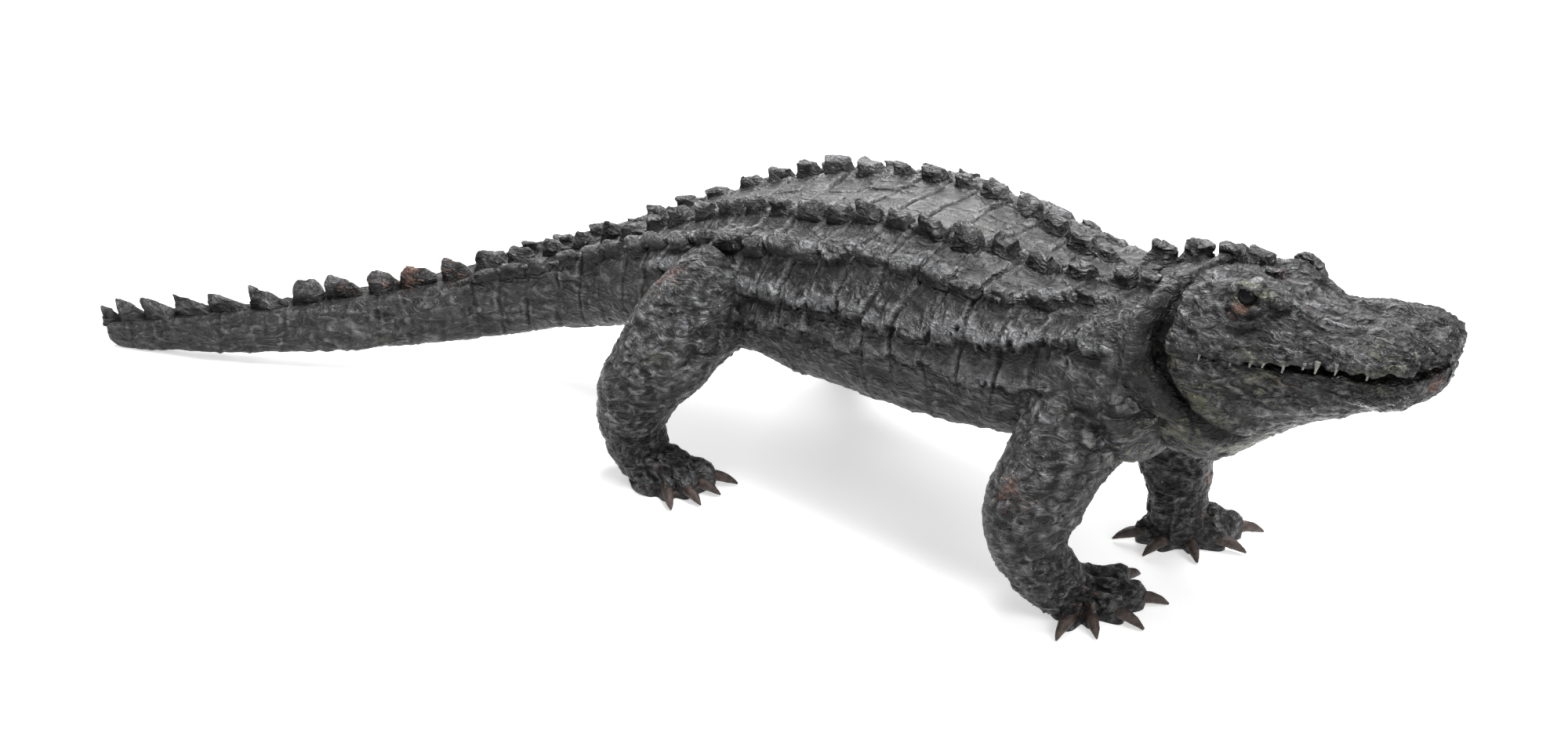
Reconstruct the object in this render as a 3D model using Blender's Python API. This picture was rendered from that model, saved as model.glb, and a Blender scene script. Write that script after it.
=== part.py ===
# Metal alligator sculpture, about 2.2 m long, standing on four feet with its head raised
# One cast body: skin with keeled scutes, tail crest, head with closed jaws, teeth, eyes, four legs and claws
# Axes: +X along the trunk towards the head, +Y towards its left side, +Z up, soles on the floor
import math

import bmesh
import bpy
import numpy as np
from mathutils import Matrix, Vector

TAIL_LENGTH = 1.000  # from the hips back to the tip; a negative x in these tables is a share of it

# Where each cross section of the body stands: x, y, top, bottom, half width
BODY = (
    (-1.000, -0.354, 0.040, -0.002, 0.006),
    (-0.940, -0.333, 0.054, 0.000, 0.013),
    (-0.870, -0.305, 0.068, 0.008, 0.019),
    (-0.780, -0.264, 0.084, 0.014, 0.026),
    (-0.660, -0.200, 0.107, 0.025, 0.033),
    (-0.540, -0.124, 0.134, 0.042, 0.041),
    (-0.430, -0.057, 0.164, 0.062, 0.052),
    (-0.330, -0.015, 0.199, 0.086, 0.066),
    (-0.230, 0.010, 0.244, 0.114, 0.088),
    (-0.130, 0.020, 0.292, 0.142, 0.116),
    (-0.030, 0.022, 0.338, 0.162, 0.146),
    (0.080, 0.020, 0.378, 0.174, 0.166),
    (0.200, 0.012, 0.406, 0.179, 0.178),
    (0.340, -0.006, 0.420, 0.178, 0.182),
    (0.460, -0.026, 0.411, 0.181, 0.176),
    (0.560, -0.046, 0.399, 0.192, 0.162),
    (0.640, -0.064, 0.405, 0.204, 0.142),
    (0.700, -0.078, 0.428, 0.208, 0.138),
    (0.762, -0.086, 0.448, 0.212, 0.138),
)
BAND_PITCH = 0.052  # one row of scutes across the body
TRUNK_ROLL = math.radians(8)  # the trunk leans a little to its right
ROLL_AT = 0.18
ROLL_SPAN = 0.26

# Right half of a cross section from the top to the bottom: share of the half width, share of the height
TRUNK_HALF = (
    (0.00, 1.00), (0.20, 1.00), (0.54, 0.95), (0.83, 0.79), (0.99, 0.50),
    (0.97, 0.26), (0.78, 0.08), (0.40, 0.00), (0.00, 0.00),
)
TAIL_HALF = (
    (0.00, 1.00), (0.16, 1.00), (0.56, 1.00), (0.93, 0.97), (1.00, 0.66),
    (0.98, 0.36), (0.80, 0.10), (0.42, 0.00), (0.00, 0.00),
)
TAIL_SHAPE_ENDS = -0.36
TRUNK_SHAPE_STARTS = -0.10

# Keels on the scutes, by the column that they stand in, counted outwards from the middle of the back
KEEL_HEIGHT = {1: 0.024, 2: 0.020, 3: 0.017, 4: 0.008}
KEEL_FROM = {1: -0.34, 2: -0.42, 3: 0.06, 4: 0.08}
KEEL_TO = {1: 0.62, 2: 0.62, 3: 0.60, 4: 0.50}
KEEL_WIDTH_SHARE = {1: 0.46, 2: 0.48, 3: 0.50, 4: 0.44}
KEEL_LENGTH_SHARE = 0.80
FULL_SCUTE_WIDTH = 0.045  # a narrower scute has a lower keel, down to this share
LEAST_KEEL_SHARE = 0.85
PLATE_RISE = 0.002
RIDGE_FRONT_SHARE = 0.78  # height of a ridge at its front, as a share of its height at the back

# Single crest of fins on the end of the tail: x of each fin and its height
FIN_AT = (-0.970, -0.915, -0.855, -0.790, -0.725, -0.668, -0.618, -0.566, -0.514, -0.462, -0.412, -0.362)
FIN_HEIGHT = (0.030, 0.030, 0.032, 0.034, 0.036, 0.034, 0.034, 0.030, 0.030, 0.030, 0.030, 0.026)
FIN_LENGTH = 0.052
FIN_THICKNESS = 0.016
FIN_LEAN = 0.020  # the tip leans this far towards the end of the tail
FIN_SINK = 0.010

# Head, measured forwards from the back of the skull: distance, half width, top, mouth line, underside
SKULL_AT = Vector((0.68, -0.075, 0.0))
HEAD_TURN = math.radians(-7)
HEAD = (
    (0.030, 0.096, 0.440, 0.370, 0.268),
    (0.052, 0.120, 0.450, 0.374, 0.236),
    (0.090, 0.129, 0.456, 0.386, 0.222),
    (0.130, 0.124, 0.457, 0.396, 0.236),
    (0.175, 0.113, 0.452, 0.398, 0.272),
    (0.220, 0.100, 0.445, 0.401, 0.303),
    (0.265, 0.089, 0.444, 0.407, 0.326),
    (0.305, 0.083, 0.447, 0.413, 0.344),
    (0.338, 0.076, 0.448, 0.419, 0.361),
    (0.360, 0.060, 0.443, 0.424, 0.376),
    (0.374, 0.036, 0.435, 0.426, 0.392),
)
# Right half of a head section: share of the half width, then the level, 0 top, 1 mouth, 2 underside
HEAD_HALF = (
    (0.00, 0.00), (0.46, 0.00), (0.80, 0.16), (0.97, 0.52), (1.00, 0.90), (0.90, 1.00),
    (0.97, 1.07), (0.94, 1.45), (0.68, 1.86), (0.32, 2.00), (0.00, 2.00),
)
HEAD_STEPS = 13
EYE_AT = 0.166
EYE_OUT = 0.093
BROW_OUT = 0.075
BROW_TURN = 0.25
EYE_Z = 0.468
EYE_RADIUS = 0.0105
BROW_SIZE = (0.038, 0.021, 0.016)
BROW_DROP = 0.005  # the middle of the brow is this far below the eye
NOSTRIL_AT = 0.332
NOSTRIL_OUT = 0.024
NOSTRIL_SIZE = (0.020, 0.013, 0.010)
NUCHAL_AT = (0.008, 0.050, 0.090, 0.128)
NUCHAL_OUT = (0.040, 0.046, 0.044, 0.036)
NUCHAL_Z = 0.434
NUCHAL_CLIMB = 0.010
NUCHAL_SIZE = (0.036, 0.026, 0.032)
NUCHAL_LEAN = 0.006
NUCHAL_SINK = 0.016

# Teeth along the lip on each side: how many, from where to where, length and thickness
TEETH = 10
TOOTH_FIRST = 0.118
TOOTH_LAST = 0.322
TOOTH_LENGTH = 0.015
TOOTH_SINK = 0.006  # the root of a tooth starts this far above the lip
TOOTH_RADIUS = 0.0036
TOOTH_SIDES = 5

# Legs: a path of points with the radius at each, from inside the body to the wrist or ankle
LEG_SIDES = 10
LEGS = {
    "right_hind": (
        (0.060, -0.090, 0.265, 0.074), (0.034, -0.145, 0.232, 0.073), (0.012, -0.195, 0.184, 0.065),
        (-0.016, -0.222, 0.128, 0.056), (-0.026, -0.222, 0.078, 0.050),
        (-0.008, -0.222, 0.036, 0.046), (0.010, -0.222, 0.010, 0.040),
    ),
    "left_hind": (
        (0.110, 0.110, 0.265, 0.074), (0.085, 0.160, 0.232, 0.073), (0.055, 0.212, 0.184, 0.065),
        (0.026, 0.246, 0.128, 0.056), (0.018, 0.252, 0.078, 0.050),
        (0.036, 0.256, 0.036, 0.046), (0.054, 0.258, 0.010, 0.040),
    ),
    "right_front": (
        (0.610, -0.105, 0.285, 0.072), (0.624, -0.162, 0.240, 0.072), (0.618, -0.214, 0.190, 0.062),
        (0.607, -0.236, 0.138, 0.056), (0.614, -0.230, 0.086, 0.050),
        (0.636, -0.208, 0.042, 0.046), (0.656, -0.190, 0.012, 0.038),
    ),
    "left_front": (
        (0.585, 0.030, 0.285, 0.072), (0.600, 0.075, 0.240, 0.066), (0.632, 0.080, 0.184, 0.056),
        (0.664, 0.055, 0.132, 0.050), (0.678, 0.046, 0.084, 0.047),
        (0.682, 0.040, 0.042, 0.046), (0.688, 0.042, 0.012, 0.042),
    ),
}
# Feet: middle of the palm, then each toe's direction and the distance of its claw tip
FEET = {
    "right_hind": ((0.022, -0.219), ((-44, 0.086), (-17, 0.092), (8, 0.093), (30, 0.106))),
    "left_hind": ((0.066, 0.256), ((42, 0.098), (20, 0.100), (-4, 0.094), (-30, 0.092))),
    "right_front": ((0.664, -0.184), ((-85, 0.088), (-50, 0.073), (-2, 0.084), (40, 0.108), (80, 0.118))),
    "left_front": ((0.692, 0.046), ((-147, 0.094), (-110, 0.074), (-48, 0.061), (10, 0.084), (46, 0.113))),
}
CLAW_LENGTH = 0.038
CLAW_RADIUS = 0.0078
CLAW_SIDES = 6
CLAW_COVER = 0.008  # how much of a claw the toe covers
# Section of a claw: share of its length back from the tip, height, share of its radius
CLAW_SECTION = ((1.16, 0.014, 1.00), (0.63, 0.013, 0.92), (0.26, 0.0085, 0.62), (0.00, 0.0035, 0.20))
HEEL_REACH = 0.046
WEB_SHARE = 0.74  # the web between two toes reaches this share of their length
TOE_HALF_ANGLE = 9
HEEL_STEPS = 4
# Section of a foot: share of the reach, height on a toe and on the web, share of the way back to the wrist
FOOT_SECTION = (
    (0.42, 0.062, 0.060, 1.0),
    (0.66, 0.041, 0.034, 0.3),
    (0.88, 0.029, 0.018, 0.0),
    (1.00, 0.013, 0.008, 0.0),
    (0.97, -0.005, -0.005, 0.0),
)
WRIST = 4  # which point of a leg's path is its wrist
FLOOR_CUT = 0.08
FLOOR_SPAN = 3.0
NO_GAP = 2e-5  # points nearer than this are one point


# Clear the scene
for old in list(bpy.data.objects):
    bpy.data.objects.remove(old)


# Value of a table column at a place, as a smooth curve through the rows
def smooth(at, knots, values):
    knots = np.asarray(knots, float)
    values = np.asarray(values, float)
    slope = np.gradient(values, knots)
    i = np.clip(np.searchsorted(knots, at) - 1, 0, len(knots) - 2)
    span = knots[i + 1] - knots[i]
    t = (at - knots[i]) / span
    a = values[i] * (1 + 2 * t) * (1 - t) ** 2 + values[i + 1] * t * t * (3 - 2 * t)
    return a + span * (slope[i] * t * (1 - t) ** 2 - slope[i + 1] * t * t * (1 - t))


# Closed surface from a stack of rings, its ends closed by one polygon each or by a fan about the middle
def skin(bm, rings, skip=(), fan=False):
    loops = [[bm.verts.new(p) for p in ring] for ring in rings]
    sides = len(loops[0])
    for i in range(len(loops) - 1):
        for j in range(sides):
            k = (j + 1) % sides
            if (i, j) not in skip:
                bm.faces.new((loops[i][j], loops[i][k], loops[i + 1][k], loops[i + 1][j]))
    for ring in (loops[0][::-1], loops[-1]):
        if not fan:
            bm.faces.new(ring)
            continue
        middle = bm.verts.new(sum((v.co for v in ring), Vector()) / sides)
        for j in range(sides):
            bm.faces.new((ring[j], ring[(j + 1) % sides], middle))
    return loops


# Object from a bmesh, faces outwards
def solid(name, bm):
    bmesh.ops.triangulate(bm, faces=list(bm.faces))
    bmesh.ops.recalc_face_normals(bm, faces=list(bm.faces))
    mesh = bpy.data.meshes.new(name)
    bm.to_mesh(mesh)
    bm.free()
    made = bpy.data.objects.new(name, mesh)
    bpy.context.scene.collection.objects.link(made)
    return made


# Place along X of a value in the tables
def place_x(value):
    return value * TAIL_LENGTH if value < 0 else value


# Distance of each section along the middle line of the body
knot_x = np.array([place_x(row[0]) for row in BODY])
knot_y = np.array([row[1] for row in BODY])
along = np.concatenate(([0.0], np.cumsum(np.hypot(np.diff(knot_x), np.diff(knot_y)))))


# Place, direction and size of the body at a distance along its middle line
def body_at(s):
    x = smooth(s, along, knot_x)
    y, top, bottom, half = (smooth(s, along, [row[c] for row in BODY]) for c in range(1, 5))
    ahead = smooth(min(s + 0.01, along[-1]), along, knot_x), smooth(min(s + 0.01, along[-1]), along, knot_y)
    behind = smooth(max(s - 0.01, 0), along, knot_x), smooth(max(s - 0.01, 0), along, knot_y)
    forward = Vector((ahead[0] - behind[0], ahead[1] - behind[1], 0)).normalized()
    return Vector((x, y, 0)), forward, top, bottom, half


# One cross section of the body as a ring of points
def body_ring(s):
    centre, forward, top, bottom, half = body_at(s)
    left = Vector((-forward.y, forward.x, 0))
    tail_end, trunk_start = place_x(TAIL_SHAPE_ENDS), place_x(TRUNK_SHAPE_STARTS)
    blend = min(max((centre.x - tail_end) / (trunk_start - tail_end), 0), 1)
    shape = (1 - blend) * np.array(TAIL_HALF) + blend * np.array(TRUNK_HALF)
    roll = TRUNK_ROLL * math.exp(-((centre.x - ROLL_AT) / ROLL_SPAN) ** 2)
    middle = (top + bottom) / 2
    full = [(-e, z) for e, z in shape] + [(e, z) for e, z in shape[-2:0:-1]]
    points = []
    for share, height in full:
        out = share * half
        up = bottom + height * (top - bottom) - middle
        turned = out * math.cos(roll) - up * math.sin(roll)
        raised = out * math.sin(roll) + up * math.cos(roll)
        points.append(centre + left * turned + Vector((0, 0, middle + raised)))
    return points


# Scute on one cell of the skin: a plate with a keel that is highest towards the tail
def scute(bm, a, b, c, d, width_share, height):
    normal = (c.co - a.co).cross(d.co - b.co).normalized()

    def on_cell(u, v):
        return (a.co * (1 - u) + d.co * u) * (1 - v) + (b.co * (1 - u) + c.co * u) * v

    u0 = (1 - KEEL_LENGTH_SHARE) / 2
    v0 = (1 - width_share) / 2
    foot = ((u0, v0), (u0, 1 - v0), (1 - u0, 1 - v0), (1 - u0, v0))
    base = [bm.verts.new(on_cell(u, v) + normal * PLATE_RISE) for u, v in foot]
    low = bm.verts.new(on_cell(1 - u0 * 2.2, 0.5) + normal * height * RIDGE_FRONT_SHARE)
    high = bm.verts.new(on_cell(u0 * 0.9, 0.5) + normal * height)
    rim = (a, b, c, d)
    for i in range(4):
        k = (i + 1) % 4
        bm.faces.new((rim[i], rim[k], base[k], base[i]))
    bm.faces.new((base[0], base[1], high))
    bm.faces.new((base[1], base[2], low, high))
    bm.faces.new((base[2], base[3], low))
    bm.faces.new((base[3], base[0], high, low))


# The skin from the tail to the neck, with its scutes
def make_body():
    bands = round(along[-1] / BAND_PITCH)
    places = [along[-1] * i / bands for i in range(bands + 1)]
    rings = [body_ring(s) for s in places]
    sides = len(rings[0])
    cells = {}
    for i in range(bands):
        x = (body_at(places[i])[0].x + body_at(places[i + 1])[0].x) / 2
        for column, height in KEEL_HEIGHT.items():
            if place_x(KEEL_FROM[column]) < x < KEEL_TO[column]:
                cells[(i, column)] = column
                cells[(i, sides - 1 - column)] = column
    bm = bmesh.new()
    loops = skin(bm, rings, skip=cells)
    for (i, j), column in cells.items():
        k = (j + 1) % sides
        a, b, c, d = loops[i][j], loops[i][k], loops[i + 1][k], loops[i + 1][j]
        grow = min(max((b.co - a.co).length / FULL_SCUTE_WIDTH, LEAST_KEEL_SHARE), 1)
        scute(bm, a, b, c, d, KEEL_WIDTH_SHARE[column], KEEL_HEIGHT[column] * grow)
    return solid("body", bm)


# Block with a narrow sloping top, for crest fins and neck scutes
def wedge(name, foot, forward, up, length, width, height, lean, sink):
    side = up.cross(forward).normalized()
    bm = bmesh.new()
    rings = []
    stages = ((-sink, 1.0, 0.0), (0.0, 1.0, 0.0), (height * 0.55, 0.72, -lean * 0.5), (height, 0.34, -lean))
    for level, scale, shift in stages:
        middle = foot + up * level + forward * shift
        thin = scale if level > 0 else 1.0
        corners = ((-0.5, -0.5), (0.5, -0.32), (0.5, 0.32), (-0.5, 0.5))
        half = [(length * scale * cx, width * thin * cy) for cx, cy in corners]
        rings.append([middle + forward * ahead + side * out for ahead, out in half])
    skin(bm, rings)
    return solid(name, bm)


# Tube along a path of (x, y, z, radius), with rings square to the path and no twist between them
def tube(name, path, sides):
    points = [Vector(p[:3]) for p in path]
    side = Vector((0, 0, 0))
    rings = []
    for i, point in enumerate(points):
        forward = (points[min(i + 1, len(points) - 1)] - points[max(i - 1, 0)]).normalized()
        if side.length < 0.5:
            side = forward.orthogonal()
        side = (side - forward * side.dot(forward)).normalized()
        up = side.cross(forward)
        turn = [2 * math.pi * (k + 0.5) / sides for k in range(sides)]
        rings.append([point + (side * math.cos(t) + up * math.sin(t)) * path[i][3] for t in turn])
    bm = bmesh.new()
    skin(bm, rings)
    return solid(name, bm)


# Ellipsoid
def ball(name, centre, size, turn=0.0, detail=2):
    bm = bmesh.new()
    bmesh.ops.create_icosphere(bm, subdivisions=detail, radius=1.0)
    place = Matrix.Translation(centre) @ Matrix.Rotation(turn, 4, "Z") @ Matrix.Diagonal((*size, 1.0))
    bmesh.ops.transform(bm, matrix=place, verts=bm.verts)
    return solid(name, bm)


# Point of the head from the distance forwards, the distance to the left and the height
def head_point(forward, out, z):
    ahead = Vector((math.cos(HEAD_TURN), math.sin(HEAD_TURN), 0))
    left = Vector((-ahead.y, ahead.x, 0))
    return SKULL_AT + ahead * forward + left * out + Vector((0, 0, z))


# Size of the head from its table: column 1 half width, 2 top, 3 mouth, 4 underside
def head_value(forward, column):
    return float(smooth(forward, [row[0] for row in HEAD], [row[column] for row in HEAD]))


# One cross section of the head, notched along the mouth
def head_ring(forward):
    half, top, mouth, under = (head_value(forward, c) for c in range(1, 5))
    points = []
    for share, level in HEAD_HALF:
        z = top + (mouth - top) * level if level <= 1 else mouth + (under - mouth) * (level - 1)
        points.append((share * half, z))
    full = [(-o, z) for o, z in points] + [(o, z) for o, z in points[-2:0:-1]]
    return [head_point(forward, o, z) for o, z in full]


# Head with brows, eyes, nostrils, neck scutes and teeth
def make_head():
    bm = bmesh.new()
    first, last = HEAD[0][0], HEAD[-1][0]
    shares = [math.sin(math.pi / 2 * (i / HEAD_STEPS) ** 0.85) for i in range(HEAD_STEPS + 1)]
    skin(bm, [head_ring(first + (last - first) * share) for share in shares], fan=True)
    parts = [solid("head", bm)]
    forward = head_point(1, 0, 0) - head_point(0, 0, 0)
    up = Vector((0, 0, 1))
    for side in (-1, 1):
        brow = head_point(EYE_AT, side * BROW_OUT, EYE_Z - BROW_DROP)
        parts.append(ball(f"brow_{side}", brow, BROW_SIZE, HEAD_TURN - side * BROW_TURN))
        eye = head_point(EYE_AT + 0.004, side * EYE_OUT, EYE_Z)
        parts.append(ball(f"eye_{side}", eye, (EYE_RADIUS,) * 3))
        nostril = head_point(NOSTRIL_AT, side * NOSTRIL_OUT, head_value(NOSTRIL_AT, 2))
        parts.append(ball(f"nostril_{side}", nostril, NOSTRIL_SIZE, HEAD_TURN, 1))
        for i, (at, out) in enumerate(zip(NUCHAL_AT, NUCHAL_OUT)):
            foot = head_point(at, side * out, NUCHAL_Z + NUCHAL_CLIMB * min(i, 2))
            parts.append(wedge(f"nuchal_{side}_{i}", foot, forward, up, *NUCHAL_SIZE, NUCHAL_LEAN, NUCHAL_SINK))
        for i in range(TEETH):
            at = TOOTH_FIRST + (TOOTH_LAST - TOOTH_FIRST) * i / (TEETH - 1)
            out = side * head_value(at, 1) * 0.955
            mouth = head_value(at, 3)
            root = head_point(at, out, mouth + TOOTH_SINK)
            tip = head_point(at, out, mouth + TOOTH_SINK - TOOTH_LENGTH)
            half_way = root.lerp(tip, 0.5)
            path = ((*root, TOOTH_RADIUS), (*half_way, TOOTH_RADIUS * 0.8), (*tip, TOOTH_RADIUS * 0.22))
            parts.append(tube(f"tooth_{side}_{i}", path, TOOTH_SIDES))
    return parts


# Single row of fins on the end of the tail
def make_crest():
    fins = []
    for i, (at, height) in enumerate(zip(FIN_AT, FIN_HEIGHT)):
        s = float(np.interp(place_x(at), knot_x, along))
        centre, forward, top, _, half = body_at(s)
        foot = centre + Vector((0, 0, top))
        up = Vector((0, 0, 1))
        width = min(FIN_THICKNESS, half * 1.1)
        fins.append(wedge(f"fin_{i}", foot, forward, up, FIN_LENGTH, width, height, FIN_LEAN, FIN_SINK))
    return fins


# Level direction at an angle from +X, in degrees
def heading(angle):
    return Vector((math.cos(math.radians(angle)), math.sin(math.radians(angle)), 0))


# A leg, its webbed foot and its claws
def make_leg(name):
    parts = [tube(f"{name}_leg", LEGS[name], LEG_SIDES)]
    (px, py), toes = FEET[name]
    centre = Vector((px, py, 0))
    toes = sorted(toes)
    around = []
    for i, (angle, reach) in enumerate(toes):
        toe = reach - CLAW_LENGTH + CLAW_COVER
        for turn, share in ((-TOE_HALF_ANGLE, 0.95), (0, 1), (TOE_HALF_ANGLE, 0.95)):
            around.append((angle + turn, toe * share, 1))
        if i + 1 < len(toes):
            next_angle, next_reach = toes[i + 1]
            web = WEB_SHARE * ((reach + next_reach) / 2 - CLAW_LENGTH)
            around.append(((angle + next_angle) / 2, web, 0))
    first, last = around[0][0] + 360, around[-1][0]
    for step in range(1, HEEL_STEPS + 1):
        around.append((last + (first - last) * step / (HEEL_STEPS + 1), HEEL_REACH, 0))
    rings = []
    wrist = Vector((*LEGS[name][WRIST][:2], 0))
    for share, on_toe, on_web, back in FOOT_SECTION:
        ring = []
        for angle, reach, is_toe in around:
            z = on_toe if is_toe else on_web
            ring.append(centre.lerp(wrist, back) + heading(angle) * (reach * share) + Vector((0, 0, z)))
        rings.append(ring)
    bm = bmesh.new()
    skin(bm, rings, fan=True)
    parts.append(solid(f"{name}_foot", bm))
    for i, (angle, reach) in enumerate(toes):
        path = []
        for back, z, share in CLAW_SECTION:
            point = centre + heading(angle) * (reach - CLAW_LENGTH * back) + Vector((0, 0, z))
            path.append((*point, CLAW_RADIUS * share))
        parts.append(tube(f"{name}_claw_{i}", path, CLAW_SIDES))
    return parts


# Dark cast metal with a worn patina
def metal():
    made = bpy.data.materials.new("patinated_metal")
    made.use_nodes = True
    shader = made.node_tree.nodes["Principled BSDF"]
    shader.inputs["Base Color"].default_value = (0.055, 0.058, 0.062, 1)
    shader.inputs["Roughness"].default_value = 0.55
    shader.inputs["Metallic"].default_value = 0.6
    return made


# One solid from all the pieces, cut level where it meets the floor
def joined(parts, name):
    body = parts[0]
    group = bpy.data.collections.new("pieces")
    bpy.context.scene.collection.children.link(group)
    for piece in parts[1:]:
        bpy.context.scene.collection.objects.unlink(piece)
        group.objects.link(piece)
    union = body.modifiers.new("union", "BOOLEAN")
    union.operation = "UNION"
    union.operand_type = "COLLECTION"
    union.collection = group
    union.solver = "EXACT"
    union.use_self = True
    bm = bmesh.new()
    bmesh.ops.create_cube(bm, size=1.0)
    size = Matrix.Diagonal((FLOOR_SPAN, FLOOR_SPAN, FLOOR_CUT, 1))
    slab = Matrix.Translation((0, 0, -FLOOR_CUT / 2)) @ size
    bmesh.ops.transform(bm, matrix=slab, verts=bm.verts)
    floor = solid("floor", bm)
    level = body.modifiers.new("level", "BOOLEAN")
    level.operation = "DIFFERENCE"
    level.object = floor
    level.solver = "EXACT"
    graph = bpy.context.evaluated_depsgraph_get()
    mesh = bpy.data.meshes.new_from_object(body.evaluated_get(graph))
    for piece in parts[1:] + [floor]:
        bpy.data.objects.remove(piece)
    bpy.data.collections.remove(group)
    body.modifiers.clear()
    body.data = mesh
    body.name = name
    mesh.name = name
    return body


pieces = [make_body()] + make_crest() + make_head()
for leg in LEGS:
    pieces += make_leg(leg)
alligator = joined(pieces, "alligator")

# Origin at the middle of the bounding box, on the floor
bm = bmesh.new()
bm.from_mesh(alligator.data)
bmesh.ops.triangulate(bm, faces=list(bm.faces))
bmesh.ops.remove_doubles(bm, verts=bm.verts, dist=NO_GAP)
bmesh.ops.dissolve_degenerate(bm, edges=bm.edges, dist=NO_GAP)
bmesh.ops.triangulate(bm, faces=list(bm.faces))
bm.to_mesh(alligator.data)
bm.free()
corners = np.array([v.co for v in alligator.data.vertices])
middle = (corners.max(0) + corners.min(0)) / 2
alligator.data.transform(Matrix.Translation((-middle[0], -middle[1], 0)))
alligator.data.materials.clear()
alligator.data.materials.append(metal())
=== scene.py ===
import bpy
import numpy as np
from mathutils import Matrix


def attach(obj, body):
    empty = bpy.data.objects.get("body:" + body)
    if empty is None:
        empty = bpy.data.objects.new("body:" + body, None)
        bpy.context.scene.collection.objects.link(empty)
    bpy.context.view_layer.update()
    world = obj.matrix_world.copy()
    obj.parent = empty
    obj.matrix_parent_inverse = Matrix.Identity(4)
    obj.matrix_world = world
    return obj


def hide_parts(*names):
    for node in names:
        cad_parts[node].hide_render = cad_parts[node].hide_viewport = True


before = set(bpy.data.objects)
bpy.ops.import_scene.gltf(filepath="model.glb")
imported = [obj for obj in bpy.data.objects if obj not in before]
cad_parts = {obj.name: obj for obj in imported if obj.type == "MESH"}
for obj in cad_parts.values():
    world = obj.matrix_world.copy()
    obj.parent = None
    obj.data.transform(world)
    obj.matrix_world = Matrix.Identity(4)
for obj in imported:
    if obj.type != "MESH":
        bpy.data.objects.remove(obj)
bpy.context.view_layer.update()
scene = bpy.context.scene
originShift = np.array([-0.02681625, 0.01844378, 0.0])  # the drawing's origin to the middle of the model
print("frame loaded")


# ---- noise and grids

# Random number from 0 to 1 for each whole-number point of a lattice
def latticeValue(cell, seed):
    x, y, z = (cell[..., k].astype(np.uint32) for k in range(3))
    h = x * np.uint32(0x8DA6B343) ^ y * np.uint32(0xD8163841) ^ z * np.uint32(0xCB1AB31F)
    h = h ^ np.uint32((seed * 7919 + 13) & 0xFFFFFFFF)
    h = (h ^ (h >> np.uint32(13))) * np.uint32(0x5BD1E995)
    h = (h ^ (h >> np.uint32(15))) * np.uint32(0x27D4EB2D)
    return (h ^ (h >> np.uint32(14))).astype(np.float64) / 2 ** 32


# Smooth noise from -1 to 1: lattice values, blended between the eight corners by smooth steps
def softNoise(points, size, seed=0):
    q = points / size
    cell = np.floor(q).astype(np.int64)
    t = q - cell
    t = t * t * (3 - 2 * t)
    total = np.zeros(points.shape[:-1])
    for corner in range(8):
        step = np.array([corner & 1, corner >> 1 & 1, corner >> 2 & 1])
        weight = np.where(step == 1, t, 1 - t).prod(-1)
        total += weight * latticeValue(cell + step, seed)
    return total * 2 - 1


# Layers of noise added up and divided by their weights: each is half the size of the last, weaker by the fade,
# and bent by the shape function
def layered(shape, points, size, layers, seed, step, fade=0.55):
    weights = fade ** np.arange(layers)
    total = sum(weights[k] * shape(softNoise(points, size / 2 ** k, seed + k * step)) for k in range(layers))
    return total / weights.sum()


# Soft layered noise, about -1 to 1
def roughNoise(points, size, layers=4, seed=0):
    return layered(np.positive, points, size, layers, seed, 17) * 1.6


# Ridged noise from 0 to 1: sharp crests where the soft noise crosses zero
def ridgeNoise(points, size, layers=3, seed=0):
    return layered(lambda noise: (1 - np.abs(noise)) ** 3, points, size, layers, seed, 29)


# Smooth random shift of each point
def drift(points, size, seed):
    return np.stack([softNoise(points, size, seed + k) for k in range(3)], -1)


# Rounded lumps with sharp creases between them: the size of soft noise on bent coordinates
def creased(points, size, layers=2, seed=0, bend=0.4):
    bent = points + size * bend * drift(points, size * 1.4, seed + 1)
    return layered(np.abs, bent, size, layers, seed, 23, 0.6) * 2 - 0.6


# Cells about random points: distance to the nearest, to the second nearest, and the cell's own number
def cellNoise(points, size, seed=0):
    q = points / size
    home = np.floor(q).astype(np.int64)
    first = np.full(points.shape[:-1], 9.0)
    second = first.copy()
    own = np.zeros_like(first)
    for k in range(27):
        step = np.array([k % 3, k // 3 % 3, k // 9]) - 1
        cell = home + step
        spot = np.stack([latticeValue(cell, seed + n) for n in (1, 2, 3)], -1)
        away = np.linalg.norm(cell + 0.15 + 0.7 * spot - q, axis=-1)
        closer = away < first
        second = np.where(closer, first, np.minimum(second, away))
        own = np.where(closer, latticeValue(cell, seed + 5), own)
        first = np.where(closer, away, first)
    return first, second, own


# Smooth curve through knots: cubic Hermite pieces whose slopes come from the neighbouring knots
def throughKnots(at, knots, values):
    knots, values = np.asarray(knots, float), np.asarray(values, float)
    at = np.asarray(at, float)
    slope = np.gradient(values, knots, axis=0)
    i = np.clip(np.searchsorted(knots, at) - 1, 0, len(knots) - 2)
    span = knots[i + 1] - knots[i]
    t = (at - knots[i]) / span
    if values.ndim > 1:
        span, t = span[..., None], t[..., None]
    ends = values[i] * (1 + 2 * t) * (1 - t) ** 2 + values[i + 1] * t * t * (3 - 2 * t)
    return ends + span * (slope[i] * t * (1 - t) ** 2 - slope[i + 1] * t * t * (1 - t))


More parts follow.
